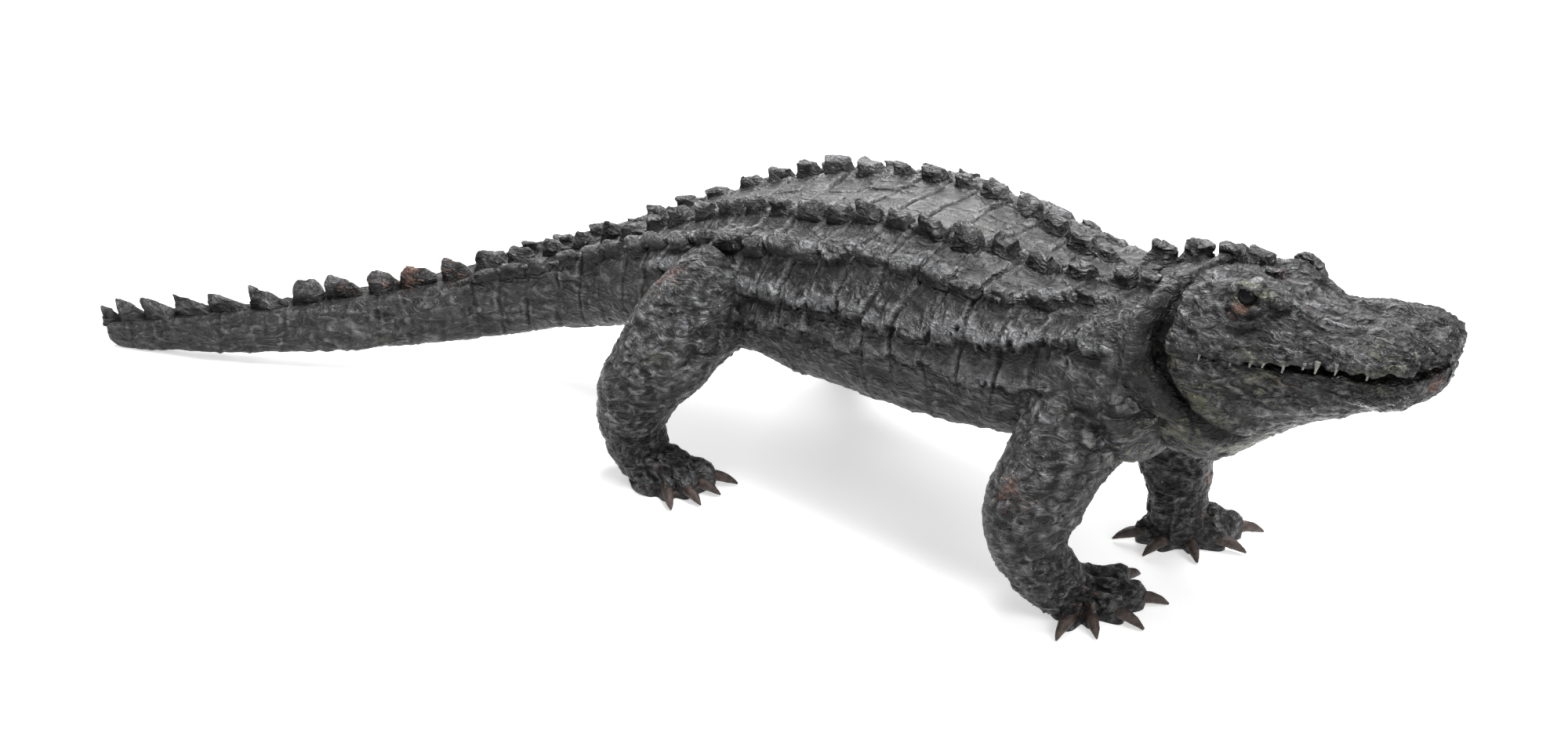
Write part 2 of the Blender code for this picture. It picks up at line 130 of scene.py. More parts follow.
# Closed section from its right half: Catmull-Rom curve through the points, at the column number
def sectionAt(half, column):
    half = np.array(half, float)
    full = np.concatenate((half * [-1, 1], half[-2:0:-1]))
    i = np.floor(column).astype(int)
    t = (column - i)[..., None]
    a, b, c, d = (full[(i + k) % len(full)] for k in (-1, 0, 1, 2))
    return 0.5 * (2 * b + (c - a) * t + (2 * a - 5 * b + 4 * c - d) * t ** 2 + (3 * b - a - 3 * c + d) * t ** 3)


def unit(v):
    return v / np.maximum(np.linalg.norm(v, axis=-1, keepdims=True), 1e-12)


# Step from 0 to 1 between two values, smooth at both ends
def ease(x, low, high):
    t = np.clip((x - low) / (high - low), 0, 1)
    return t * t * (3 - 2 * t)


# Bump of height 1 about a middle
def bell(x, middle, width):
    return np.exp(-((x - middle) / width) ** 2)


# Outward normals of grids whose columns close on themselves: across the columns, then along the rows
def gridNormals(grid):
    along = np.gradient(grid, axis=-3)
    across = np.roll(grid, -1, -2) - np.roll(grid, 1, -2)
    return unit(np.cross(across, along))


# Average over the neighbours on a grid, repeated
def blurred(height, times):
    for _ in range(times):
        down = np.concatenate((height[1:], height[-1:]))
        up = np.concatenate((height[:1], height[:-1]))
        height = (height * 2 + np.roll(height, 1, 1) + np.roll(height, -1, 1) + down + up) / 6
    return height


# Moves a grid along its normals, and works out how far each point stands above the points about it, -1 to 1:
# its height less the near average and less the wide average, each over its full difference
def carve(grid, height, nearSteps=8, wideSteps=48, nearFull=0.002, wideFull=0.006):
    near = (height - blurred(height, nearSteps)) / nearFull
    wide = (height - blurred(height, wideSteps)) / wideFull
    return grid + gridNormals(grid) * height[..., None], np.clip(near + wide, -1, 1)


stainsAndShade = {
    # place, reach and strength of the marks that the patina's own noise then breaks up
    "rust": ((-0.62, -0.18, 0.15, 0.05, 0.75), (-0.55, -0.13, 0.17, 0.05, 0.9), (-0.48, -0.09, 0.18, 0.05, 0.7),
             (0.603, -0.272, 0.185, 0.03, 0.9), (0.716, 0.075, 0.16, 0.022, 1.1), (0.722, 0.055, 0.1, 0.022, 1),
             (0.715, 0.045, 0.06, 0.02, 0.9), (0.833, -0.19, 0.452, 0.016, 1.2), (0.835, -0.066, 0.47, 0.02, 1),
             (0.885, -0.13, 0.45, 0.016, 1), (0, -0.17, 0.285, 0.05, 0.7), (1.04, -0.14, 0.4, 0.018, 1),
             (0.9, -0.215, 0.385, 0.03, 0.6), (0.68, -0.22, 0.03, 0.05, 0.5), (0.05, -0.26, 0.03, 0.05, 0.5)),
    "green": ((0.835, -0.18, 0.48, 0.03, 1.1), (0.8, -0.205, 0.33, 0.05, 0.9), (0.83, -0.15, 0.28, 0.05, 0.9),
              (0.77, -0.19, 0.29, 0.05, 0.9), (0.745, -0.205, 0.38, 0.04, 0.8), (0.87, -0.2, 0.39, 0.04, 0.7),
              (1, -0.19, 0.42, 0.05, 0.7), (0.7, -0.18, 0.24, 0.05, 0.7)),
    # smooth spots on the near lower jaw under the upper lip: their smoothness is real, their darkness is painted
    # shade from the lip above
    "gloss": ((0.985, -0.195, 0.378, 0.026, 1.2), (1.015, -0.175, 0.385, 0.024, 1.2)),
}


# Strength of one kind of mark at each point (the rust and green stains, the smooth spots with painted shade): the
# strongest of its round soft spots
def stainAndShadeAt(points, places):
    total = np.zeros(len(points))
    for x, y, z, size, amount in places:
        away = np.linalg.norm(points - originShift - [x, y, z], axis=-1)
        total = np.maximum(total, amount * bell(away, 0, size))
    return total


# New object in the scene
def added(name, data):
    made = bpy.data.objects.new(name, data)
    scene.collection.objects.link(made)
    return made


# Mesh piece from stacks of closed grids: quads between neighbours and a fan about the middle at each end,
# with its relief tone (painted shade on some pieces), its roughness, and its stains and painted shade spots as point
# attributes
def makePiece(name, blocks, material, relief=None, grit=None):
    points, quads, fans, levels, rasp, count = [], [], [], [], [], 0
    relief = relief or [np.zeros(b.shape[:-1]) for b in blocks]
    grit = grit or [np.ones(b.shape[:-1]) for b in blocks]
    for block, level, coarse in zip(blocks, relief, grit):
        block = block.reshape(-1, *block.shape[-3:])
        number, rows, cols = block.shape[:3]
        index = np.arange(number * rows * cols).reshape(number, rows, cols) + count
        after = np.roll(index, -1, 2)
        quads.append(np.stack((index[:, :-1], after[:, :-1], after[:, 1:], index[:, 1:]), -1).reshape(-1, 4))
        first = count + number * rows * cols + np.arange(number)[:, None] + np.zeros((1, cols), int)
        last = first + number
        fans += [np.stack((after[:, 0], index[:, 0], first), -1).reshape(-1, 3)]
        fans += [np.stack((index[:, -1], after[:, -1], last), -1).reshape(-1, 3)]
        points += [block.reshape(-1, 3), block[:, 0].mean(1), block[:, -1].mean(1)]
        for held, value in ((levels, level), (rasp, coarse)):
            value = np.broadcast_to(value, block.shape[:-1])
            held += [value.ravel(), value[:, 0].mean(1), value[:, -1].mean(1)]
        count += number * (rows * cols + 2)
    points, quads, fans = np.concatenate(points), np.concatenate(quads), np.concatenate(fans)
    mesh = bpy.data.meshes.new(name)
    mesh.vertices.add(len(points))
    mesh.vertices.foreach_set("co", points.astype(np.float32).ravel())
    corners = np.concatenate((quads.ravel(), fans.ravel()))
    mesh.loops.add(len(corners))
    mesh.loops.foreach_set("vertex_index", corners.astype(np.int32))
    starts = np.concatenate((np.arange(len(quads)) * 4, len(quads) * 4 + np.arange(len(fans)) * 3))
    mesh.polygons.add(len(starts))
    mesh.polygons.foreach_set("loop_start", starts.astype(np.int32))
    mesh.polygons.foreach_set("use_smooth", np.ones(len(starts), bool))
    mesh.update(calc_edges=True)
    mesh.validate()
    marks = {"relief": np.concatenate(levels), "grit": np.concatenate(rasp)}
    marks.update({kind: stainAndShadeAt(points, places) for kind, places in stainsAndShade.items()})
    for mark, values in marks.items():
        mesh.attributes.new(mark, "FLOAT", "POINT").data.foreach_set("value", values.astype(np.float32))
    mesh.materials.append(material)
    made = added(name, mesh)
    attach(made, "root")
    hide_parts("alligator")
    print(f"{name}: {len(quads) * 2 + len(fans)} triangles")


# ---- materials

# A socket that takes part in sums: an expression on it adds its Math nodes
class Flow:
    def __init__(self, tree, socket=None):
        self.tree, self.socket = tree, socket

    # One node: its type, its settings first, then the numbers or links of its sockets
    def node(self, kind, settings=None, inputs=None, output=0):
        made = self.tree.nodes.new(kind)
        for key, value in (settings or {}).items():
            if key == "stops":
                while len(made.color_ramp.elements) < len(value):
                    made.color_ramp.elements.new(1.0)
                for stop, (place, colour) in zip(made.color_ramp.elements, value):
                    stop.position, stop.color = place, (*colour, 1)
            else:
                setattr(made, key, value)
        for key, value in (inputs or {}).items():
            if isinstance(value, Flow):
                self.tree.links.new(value.socket, made.inputs[key])
            else:
                made.inputs[key].default_value = value
        return Flow(self.tree, made.outputs[output])

    def maths(self, operation, *terms):
        return self.node("ShaderNodeMath", {"operation": operation}, dict(enumerate(terms)))

    def __add__(self, other):
        return self.maths("ADD", self, other)

    def __sub__(self, other):
        return self.maths("SUBTRACT", self, other)

    def __rsub__(self, other):
        return self.maths("SUBTRACT", other, self)

    def __mul__(self, other):
        return self.maths("MULTIPLY", self, other)

    __radd__, __rmul__ = __add__, __mul__

    def feed(self, shader, socket):
        self.tree.links.new(self.socket, shader.inputs[socket])

    # Noise on this vector
    def noise(self, scale, detail=4.0, rough=0.6, distort=0.0):
        return self.node("ShaderNodeTexNoise", None, {
            "Vector": self, "Scale": scale, "Detail": detail, "Roughness": rough, "Distortion": distort}, "Fac")

    # 0 to 1 between two values
    def between(self, low, high):
        return self.node("ShaderNodeMapRange", {"interpolation_type": "SMOOTHSTEP"},
                         {"Value": self, "From Min": low, "From Max": high})

    # This colour, turned to another where the mask is 1
    def towards(self, colour, mask):
        return self.node("ShaderNodeMix", {"data_type": "RGBA"}, {0: mask, 6: self, 7: (*colour, 1)}, 2)


# New material, its shader, and the object coordinates as the start of its nodes
def newFinish(name):
    made = bpy.data.materials.new(name)
    made.use_nodes = True
    place = Flow(made.node_tree).node("ShaderNodeTexCoord", output="Object")
    return made, made.node_tree.nodes["Principled BSDF"], place


metalLook = {
    # dark patina of the hollows; also the colour of the painted shade in the crease behind the jaw, on the neck's
    # roll and under the upper lip
    "hollow": (0.0072, 0.007, 0.0068),
    "middle": (0.044, 0.0438, 0.0445),
    "raised": (0.165, 0.167, 0.173),
    "rust": (0.15, 0.066, 0.042),
    "green": (0.15, 0.15, 0.092),
    "fleck": (0.6, 0.6, 0.58),
    "roughness": 0.34,
    "metallic": 0.4,
    "bumpDepth": 0.0085,
    "stretch": (0.55, 0.75, 1.25),  # draws the strokes out along the body
}


# Cast metal with a worn patina: dark in hollows, paler on raised parts, rust and green where marked,
# painted shade where the relief tone is pushed dark or the smooth spots are marked,
# crumpled strokes, grain and grit in the bump, stronger where the skin was modelled roughly
def patina(name, look):
    made, shader, place = newFinish(name)
    drawn = place.node("ShaderNodeMapping", None, {"Vector": place, "Scale": look["stretch"]}, "Vector")
    relief, rust, green, gloss, grit = (
        place.node("ShaderNodeAttribute", {"attribute_name": title}, None, "Fac")
        for title in ("relief", "rust", "green", "gloss", "grit"))
    noises = (place.noise(7.0), place.noise(30.0, 4.0, 0.6, 1.0), drawn.noise(62.0, 4.0, 0.55, 1.0),
              place.noise(165.0, 4.0, 0.68))
    blotch, broad, strokes, grain = (noise - 0.5 for noise in noises)
    fine = place.noise(420.0, 2.0, 0.6)
    folds = strokes.maths("ABSOLUTE", strokes)
    shade = relief * 0.36 + 0.355 + grain * 0.55 + blotch * 0.4 + broad * 0.35
    shade = shade + (folds * 3.2 - 0.24) * (grit * 0.8 + 0.2)
    base = place.node("ShaderNodeValToRGB", {"stops": (
        (0.05, look["hollow"]), (0.4, look["middle"]), (0.92, look["raised"]))}, {"Fac": shade}, "Color")
    rusty = (rust + strokes * 2.4 + grain * 1.2).between(0.5, 1.05)
    mossy = (green + strokes * 2.6 + grain * 1.6 + relief * 0.2).between(0.5, 1.15)
    everywhere = (blotch * 1.6 + broad * 1.2).between(0.18, 0.6)
    base = base.towards(look["green"], everywhere * 0.16)
    base = base.towards(look["rust"], rusty * 0.6)
    base = base.towards(look["green"], mossy * 0.5)
    # painted shade: the smooth spots under the upper lip turned to the hollow colour
    base = base.towards(look["hollow"], gloss.between(0.2, 0.9) * 0.85)
    speck = place.node("ShaderNodeTexVoronoi", {"feature": "F1"}, {"Vector": place, "Scale": 52.0}, "Distance")
    fleck = (1 - speck.between(0.04, 0.07)) * place.noise(13.0, 2.0).between(0.58, 0.64)
    base.towards(look["fleck"], fleck).feed(shader, "Base Color")
    rough = grain * 0.4 + look["roughness"] - relief * 0.05 + blotch * 0.2
    (rough - gloss.between(0.2, 0.9) * 0.24).feed(shader, "Roughness")
    shader.inputs["Metallic"].default_value = look["metallic"]
    height = (folds * 3.8 + broad * 0.8 + 0.4) * (grit * 0.78 + 0.22)
    height = height + (grain + 0.5) * (grit * 0.42 + 0.2) + fine * 0.06
    bump = place.node("ShaderNodeBump", None, {"Strength": 1.0, "Distance": look["bumpDepth"], "Height": height})
    bump.feed(shader, "Normal")
    return made


# Plain hard finish for small parts: two tones by noise, light bump along the part
def hardFinish(name, dark, pale, roughness, metallic, scale, depth, shine=0.5):
    made, shader, place = newFinish(name)
    tone = place.noise(scale, 5.0, 0.65)
    base = place.node("ShaderNodeValToRGB", {"stops": ((0.36, dark), (0.66, pale))}, {"Fac": tone}, "Color")
    base.feed(shader, "Base Color")
    ((tone - 0.5) * 0.3 + roughness).feed(shader, "Roughness")
    shader.inputs["Metallic"].default_value = metallic
    shader.inputs["Specular IOR Level"].default_value = shine
    bump = place.node("ShaderNodeBump", None, {"Strength": 0.5, "Distance": depth, "Height": tone})
    bump.feed(shader, "Normal")
    return made


castMetal = patina("castMetal", metalLook)
clawMetal = hardFinish("clawMetal", (0.016, 0.012, 0.01), (0.07, 0.046, 0.037), 0.48, 0.2, 150.0, 0.006)
toothMetal = hardFinish("toothMetal", (0.05, 0.05, 0.045), (0.22, 0.22, 0.2), 0.45, 0.0, 240.0, 0.001)
eyeGloss = hardFinish("eyeGloss", (0.002, 0.002, 0.002), (0.008, 0.008, 0.009), 0.1, 0.0, 60.0, 0.0002, 0.06)


# ---- body

body = {
    # x, y, top, bottom, half width of the sections from the tail's tip to the neck
    "stations": (
        (-1, -0.354, 0.04, -0.002, 0.006), (-0.94, -0.333, 0.054, 0, 0.013),
        (-0.87, -0.305, 0.068, 0.008, 0.019), (-0.78, -0.264, 0.084, 0.014, 0.026),
        (-0.66, -0.2, 0.107, 0.025, 0.033), (-0.54, -0.124, 0.134, 0.042, 0.041),
        (-0.43, -0.057, 0.164, 0.062, 0.052), (-0.33, -0.015, 0.199, 0.086, 0.066),
        (-0.23, 0.01, 0.244, 0.114, 0.088), (-0.13, 0.02, 0.292, 0.142, 0.116),
        (-0.03, 0.022, 0.338, 0.162, 0.146), (0.08, 0.02, 0.378, 0.174, 0.166),
        (0.2, 0.012, 0.406, 0.179, 0.178), (0.34, -0.006, 0.42, 0.178, 0.182),
        (0.46, -0.026, 0.411, 0.181, 0.176), (0.56, -0.046, 0.399, 0.192, 0.162),
        (0.64, -0.064, 0.405, 0.204, 0.142), (0.7, -0.078, 0.428, 0.208, 0.138),
        (0.762, -0.086, 0.448, 0.212, 0.138)),
    "trunkHalf": ((0, 1), (0.2, 1), (0.54, 0.95), (0.83, 0.79), (0.99, 0.5),
                  (0.97, 0.26), (0.78, 0.08), (0.4, 0), (0, 0)),
    "tailHalf": ((0, 1), (0.16, 1), (0.56, 1), (0.93, 0.97), (1, 0.66),
                 (0.98, 0.36), (0.8, 0.1), (0.42, 0), (0, 0)),
    "shapeChange": (-0.36, -0.1),  # x where the tail's section turns into the trunk's
    "roll": (np.radians(8), 0.18, 0.26),  # lean, where, over what length
    "bandPitch": 0.052,
    # the pieces of the skin: where each ends, in bands, and its grid
    "pieces": (("tailSkin", 0, 17, (330, 164)), ("trunkSkin", 17, 28, (296, 272)), ("chestSkin", 28, 99, (264, 272))),
    "endRound": (0.026, 0.05),  # over what length the tail's tip and the neck's front close
    "sink": (0.0003, 0.0014, 0.004),  # how far the spare rows at a join dip under the next piece
}
stations = np.array(body["stations"])
along = np.concatenate(([0.0], np.cumsum(np.hypot(*np.diff(stations[:, :2], axis=0).T))))
bandCount = round(along[-1] / body["bandPitch"])
bandPitch = along[-1] / bandCount


# Point of the plain body at a distance from the tail's tip and a column number, 0 on top, 4 at the right side:
# the section's shape times the local size, leaned, and set square to the middle line
def bodyPoint(s, column):
    x, y, top, bottom, half = np.moveaxis(throughKnots(s, along, stations), -1, 0)
    ahead, behind = (throughKnots(np.clip(s + d, 0, along[-1]), along, stations[:, :2]) for d in (0.01, -0.01))
    forward = unit(ahead - behind)
    low, high = body["shapeChange"]
    blend = np.clip((x - low) / (high - low), 0, 1)[..., None]
    shape = (1 - blend) * sectionAt(body["tailHalf"], column) + blend * sectionAt(body["trunkHalf"], column)
    lean, where, span = body["roll"]
    roll = lean * bell(x, where, span)
    middle = (top + bottom) / 2
    out = shape[..., 0] * half
    up = bottom + shape[..., 1] * (top - bottom) - middle
    turned = out * np.cos(roll) - up * np.sin(roll)
    raised = out * np.sin(roll) + up * np.cos(roll)
    point = np.stack((x - forward[..., 1] * turned, y + forward[..., 0] * turned, middle + raised), -1)
    return point + originShift, np.concatenate((forward, 0 * forward[..., :1]), -1)


scutes = {
    "groove": 0.0026, "grooveWidth": 0.0024,  # lines between one band of plates and the next
    "step": 0.003,  # how unlike in height two neighbouring plates are
    # each row of keels: its column by band, how high the skin climbs to it, first and last x,
    # then the keels' own first x, length, width and height
    "rows": (
        {"bands": (0, 29, 30.3, 33, 40), "columns": (1.5, 1.5, 1.2, 0.95, 0.95), "rise": 0.005, "x": (-0.2, 0.65),
         "keel": (-0.2, 0.036, 0.026, 0.019)},
        {"bands": (0, 24, 31, 32.7, 34, 40), "columns": (2.5, 2.6, 2.5, 2.2, 1.9, 1.9), "rise": 0.009,
         "x": (-0.46, 0.66), "keel": (-0.44, 0.036, 0.024, 0.015)},
        {"bands": (0, 22, 26, 29, 31, 33, 40), "columns": (3.25, 3.35, 3.6, 3.6, 3.45, 3.2, 3.2), "rise": 0.01,
         "x": (-0.1, 0.68), "keel": (0.0, 0.032, 0.018, 0.005)},
        {"bands": (0, 40), "columns": (4.15, 4.15), "rise": 0.006, "x": (0.02, 0.6),
         "keel": (0.04, 0.024, 0.016, 0.004)},
    ),
    "lumps": 0.003, "grain": 0.0016, "flank": 0.0042,
}


# Random value of each plate, from its band, its row and its side of the back
def plateValue(band, row, column, seed):
    right = np.floor(column / 8).astype(int)
    cell = np.stack([np.floor(band).astype(int), row + 0 * right, right], -1)
    return latticeValue(cell, seed)


# Relief of the body: plates of unlike height with lines between them, steps that climb to each row of keels
# and drop steeply outside it with a scalloped edge, crumpled flanks and belly, and layered roughness
def bodyRelief(s, column, point):
    look = scutes
    x = point[..., 0] - originShift[0]
    side = np.minimum(column, 16 - column)
    bent = s / bandPitch + softNoise(point, 0.075, 3) * 0.2 + softNoise(point, 0.022, 4) * 0.08
    inBand = bent % 1.0
    edge = np.minimum(inBand, 1 - inBand) * bandPitch
    trunk = ease(x, -0.25, -0.05)
    quiet = 1 - 0.75 * ease(x, 0.58, 0.66) - 0.72 * (1 - ease(x, -0.48, -0.24))
    low = ease(side + softNoise(point, 0.03, 5) * 0.25, 4.15, 4.9) * trunk
    upper = 1 - low
    plate = plateValue(bent, np.floor(side + 0.5).astype(int), column, 8)
    height = look["step"] * (plate - 0.5) * ease(edge, 0.0, 0.004) * upper * quiet
    height += 0.0022 * (inBand - 0.5) * (plateValue(bent, 3, column, 9) + 0.3) * upper * quiet
    groove = bell(edge, 0, look["grooveWidth"])
    faded = np.clip(0.45 + 1.2 * softNoise(point, 0.03, 9), 0.0, 1.3)
    height -= look["groove"] * groove * faded * (1 - 0.8 * low) * quiet
    height += 0.0016 * bell(edge, 0.007, 0.003) * np.clip(softNoise(point, 0.02, 10) + 0.2, 0, 1)
    across = side + softNoise(point, 0.045, 6) * 0.14
    jagged = creased(point, 0.013, 2, 7) * 0.13
    near = np.zeros_like(height)
    for number, row in enumerate(look["rows"]):
        start, end = row["x"]
        here = ease(x, start - 0.03, start + 0.03) * (1 - ease(x, end - 0.04, end + 0.02))
        middle = np.interp(s / bandPitch, row["bands"], row["columns"])
        lip = across - middle + 0.04 * np.cos(2 * np.pi * inBand) + jagged
        climb = ease(lip, -0.85, -0.02) ** 2.4 * (1 - ease(lip, 0.005, 0.1))
        amount = 0.55 + 0.85 * plateValue(bent, number, column, 12)
        height += row["rise"] * climb * (0.72 + 0.28 * ease(edge, 0.0005, 0.004)) * amount * here
        near = np.maximum(near, bell(lip, 0.08, 0.22) * here)
    tailSide = ease(side, 2.4, 3.0) * (1 - trunk)
    neck = ease(x + 0.05 * ease(side, 2.0, 5.0), 0.585, 0.67)
    rough = np.clip(low + near * 0.75 + tailSide * 0.55 + neck * 0.85, 0, 1)
    stretched = point * [0.55, 0.55, 1.0]
    share = 0.6 * low + 0.2 * near + 0.2 * tailSide + 0.7 * neck
    height += look["flank"] * creased(stretched, 0.034, 3, 21) * share
    height += 0.0022 * (ridgeNoise(point * [0.6, 0.8, 1.0], 0.016, 2, 26) - 0.4) * rough
    height += look["lumps"] * roughNoise(point, 0.085, 2, 31) * (0.6 + 0.6 * rough)
    height += look["grain"] * roughNoise(point, 0.02, 3, 41) * (0.3 + 0.9 * rough)
    height += 0.0012 * (ridgeNoise(point * [0.4, 1.0, 1.0], 0.03, 2, 51) - 0.4) * upper
    chips = np.clip(softNoise(point, 0.013, 55) - 0.45, 0, 1) * ease(softNoise(point, 0.06, 56), 0.0, 0.4)
    height += 0.005 * chips * upper
    return height, np.clip(0.22 + rough, 0, 1)


# Column numbers for a piece: closer together on the upper half, where the scutes are
def columnPlaces(count):
    t = np.arange(count) / count
    return 16 * (t - 0.32 * np.sin(2 * np.pi * t) / (2 * np.pi)) % 16


# One length of the skin: the body's points moved by their relief; at a join it carries on for a few rows
# that dip under its neighbour
def makeSkin(name, start, end, grid):
    rows, cols = grid
    first, last = start * bandPitch, min(end, bandCount) * bandPitch
    pitch = (last - first) / (rows - 1)
    spare = np.arange(1, len(body["sink"]) + 1)
    before = first - spare[::-1] * pitch if start > 0 else np.zeros(0)
    after = last + spare * pitch if end < bandCount else np.zeros(0)
    s = np.concatenate((before, np.linspace(first, last, rows), after))
    dip = np.zeros(len(s))
    dip[:len(before)] = body["sink"][::-1][:len(before)]
    dip[len(s) - len(after):] = body["sink"][:len(after)]
    sGrid, cGrid = np.meshgrid(s, columnPlaces(cols), indexing="ij")
    plain, _ = bodyPoint(sGrid, cGrid)
    toEnds = np.clip([d / r for d, r in zip((s, along[-1] - s), body["endRound"])], 0.03, 1)
    closing = np.sqrt((1 - (1 - toEnds) ** 2).prod(0))
    centre = plain.mean(1, keepdims=True)
    plain = centre + (plain - centre) * closing[:, None, None]
    height, grit = bodyRelief(sGrid, cGrid, plain)
    shaped, relief = carve(plain, height)
    shaped -= gridNormals(plain) * dip[:, None, None]
    shaped[..., 2] = np.maximum(shaped[..., 2], 0.0)
    makePiece(name, [shaped], castMetal, [relief], [grit])


for skin in body["pieces"]:
    makeSkin(*skin)


# ---- lumps: keels, fins and neck scutes

# Rough blocks on the skin: a rounded rectangle carried upwards, narrowing by the taper and leaning back,
# its top higher at the back by the peak, its surface moved by noise
def makeLumps(spot, forward, up, size, lean=0.1, taper=0.8, peak=0.1, square=4.2, grid=(12, 26), rough=1.0, seed=0,
              spread=1.35, blunt=0.0):
    forward, up = (np.broadcast_to(v, spot.shape) for v in (forward, up))
    lean, taper, peak = (np.broadcast_to(v, len(spot))[:, None, None] for v in (lean, taper, peak))
    forward = unit(forward - up * (forward * up).sum(-1, keepdims=True))
    side = np.cross(up, forward)
    rows, cols = grid
    angle = 2 * np.pi * np.arange(cols) / cols
    cx = np.sign(np.cos(angle)) * np.abs(np.cos(angle)) ** (2 / square)
    cy = np.sign(np.sin(angle)) * np.abs(np.sin(angle)) ** (2 / square)
    level = np.concatenate((np.linspace(-0.35, 0.9, rows - 4), (0.985, 1.0, 1.0, 1.0)))[:, None]
    closing = np.concatenate((np.ones(rows - 4), (0.985, 0.9, 0.5, 0.12)))[:, None]
    closing = closing * (1 - blunt * np.clip((level - 0.35) / 0.65, 0, 1) ** 2.2)
    foot, upper = 1 - (level - 0.25) * (spread - 1) / 0.6, 1 + (taper - 1) * np.clip(level / 0.8, 0, 1)
    scale = np.where(level < 0.25, foot, upper) * closing
    ahead, out = cx * scale / 2, cy * scale / 2
    top = ease(level, 0.2, 1.0)
    rise = level * (1 - peak * 2 * (ahead + 0.15) * top) * (1 - 0.35 * np.abs(out * 2) ** 2 * top)
    length, width, tall = (size[:, k][:, None, None] for k in range(3))
    fore = (ahead - lean * np.maximum(level, 0) ** 1.4) * length
    point = (spot[:, None, None] + forward[:, None, None] * fore[..., None]
             + side[:, None, None] * (out * width)[..., None] + up[:, None, None] * (rise * tall)[..., None])
    height = 0.0034 * roughNoise(point, 0.03, 2, seed + 5) + 0.003 * (cellNoise(point, 0.012, seed + 8)[2] - 0.5)
    height = height * rough * ease(level, -0.35, 0.1)
    shaped = point + gridNormals(point) * height[..., None]
    tone = np.clip(level - 0.75, -0.8, 0.3) + np.clip(height / 0.004, -0.5, 0.5)
    return shaped, np.clip(tone, -1, 1)


# One piece from several stacks of lumps
def lumpPiece(name, made, grit=0.7):
    makePiece(name, [m[0] for m in made], castMetal, [m[1] for m in made], [np.full(m[1].shape, grit) for m in made])


randomDraw = np.random.default_rng(7)
stacks = []
bandMiddle = (np.arange(bandCount) + 0.5) * bandPitch
bandX = throughKnots(bandMiddle, along, stations[:, 0])
for number, row in enumerate(scutes["rows"]):
    startX, length, width, height = row["keel"]
    s = bandMiddle[(bandX > startX) & (bandX < row["x"][1] - 0.02)]
    column = np.interp(s / bandPitch, row["bands"], row["columns"])
    for place in (column, 16 - column):
        jitter = randomDraw.uniform(-1, 1, (len(s), 6))
        c = place + jitter[:, 0] * 0.07
        sHere = s + jitter[:, 1] * 0.005
        spot, forward = bodyPoint(sHere, c)
        toOne, _ = bodyPoint(sHere + 0.004, c)
        toTwo, _ = bodyPoint(sHere, c + 0.05)
        up = unit(np.cross(toTwo - spot, toOne - spot))
        fit = np.clip(0.62 + throughKnots(sHere, along, stations[:, 4]) * 2.6, 0.8, 1.0)
        if number:
            fit = fit * (1 - 0.4 * ease(np.interp(sHere, along, stations[:, 0]), 0.15, 0.45))
        vary = 1 + jitter[:, 2:5] * [0.14, 0.2, 0.22]
        size = np.stack((length * vary[:, 0], width * vary[:, 1] * fit, height * vary[:, 2] * fit), -1)
        upright = unit(up + [0, 0, 0.35])
        stacks.append(makeLumps(spot + up * row["rise"] * 0.4, forward, upright, size, 0.1 + 0.1 * jitter[:, 5],
                                0.8 + 0.08 * jitter[:, 3], 0.12, seed=int(10 * number + place[0])))
lumpPiece("backKeels", stacks)

fins = {
    # x of each fin's foot, length, height, lean towards the tip, and share of the width left at the top
    "x": (-0.985, -0.946, -0.898, -0.846, -0.79, -0.734, -0.678, -0.628, -0.575, -0.529, -0.479, -0.432, -0.384,
          -0.336, -0.288, -0.24),
    "length": (0.042, 0.058, 0.066, 0.068, 0.068, 0.066, 0.05, 0.058, 0.052, 0.058, 0.046, 0.05, 0.046, 0.044, 0.042,
               0.04),
    "height": (0.024, 0.031, 0.026, 0.031, 0.025, 0.033, 0.037, 0.033, 0.031, 0.029, 0.03, 0.033, 0.028, 0.027, 0.025,
               0.024),
    "lean": (0.3, 0.36, 0.36, 0.38, 0.38, 0.3, 0.08, 0.18, 0.12, 0.08, 0.12, 0.16, 0.1, 0.1, 0.08, 0.08),
    "taper": (0.74, 0.76, 0.78, 0.76, 0.8, 0.72, 0.92, 0.84, 0.9, 0.98, 0.9, 0.84, 0.9, 0.9, 0.9, 0.9),
    "peak": (0.2, 0.24, 0.26, 0.26, 0.26, 0.28, 0.06, 0.12, 0.08, 0.04, 0.08, 0.12, 0.08, 0.08, 0.08, 0.08),
    "thickness": 0.023,
}
finS = np.interp(fins["x"], stations[:, 0], along)
finSpot, finForward = bodyPoint(finS, np.zeros(len(finS)))
finWide = np.clip(throughKnots(finS, along, stations[:, 4]) * 1.5, 0.012, fins["thickness"])
finSize = np.stack((fins["length"], finWide, np.array(fins["height"])), -1)
lumpPiece("tailFins", [makeLumps(finSpot - [0, 0, 0.002], finForward, [0, 0, 1], finSize, fins["lean"],
                                 fins["taper"], fins["peak"], 2.8, (20, 34), spread=1.1, blunt=0.42)])
print("body done")


# ---- head

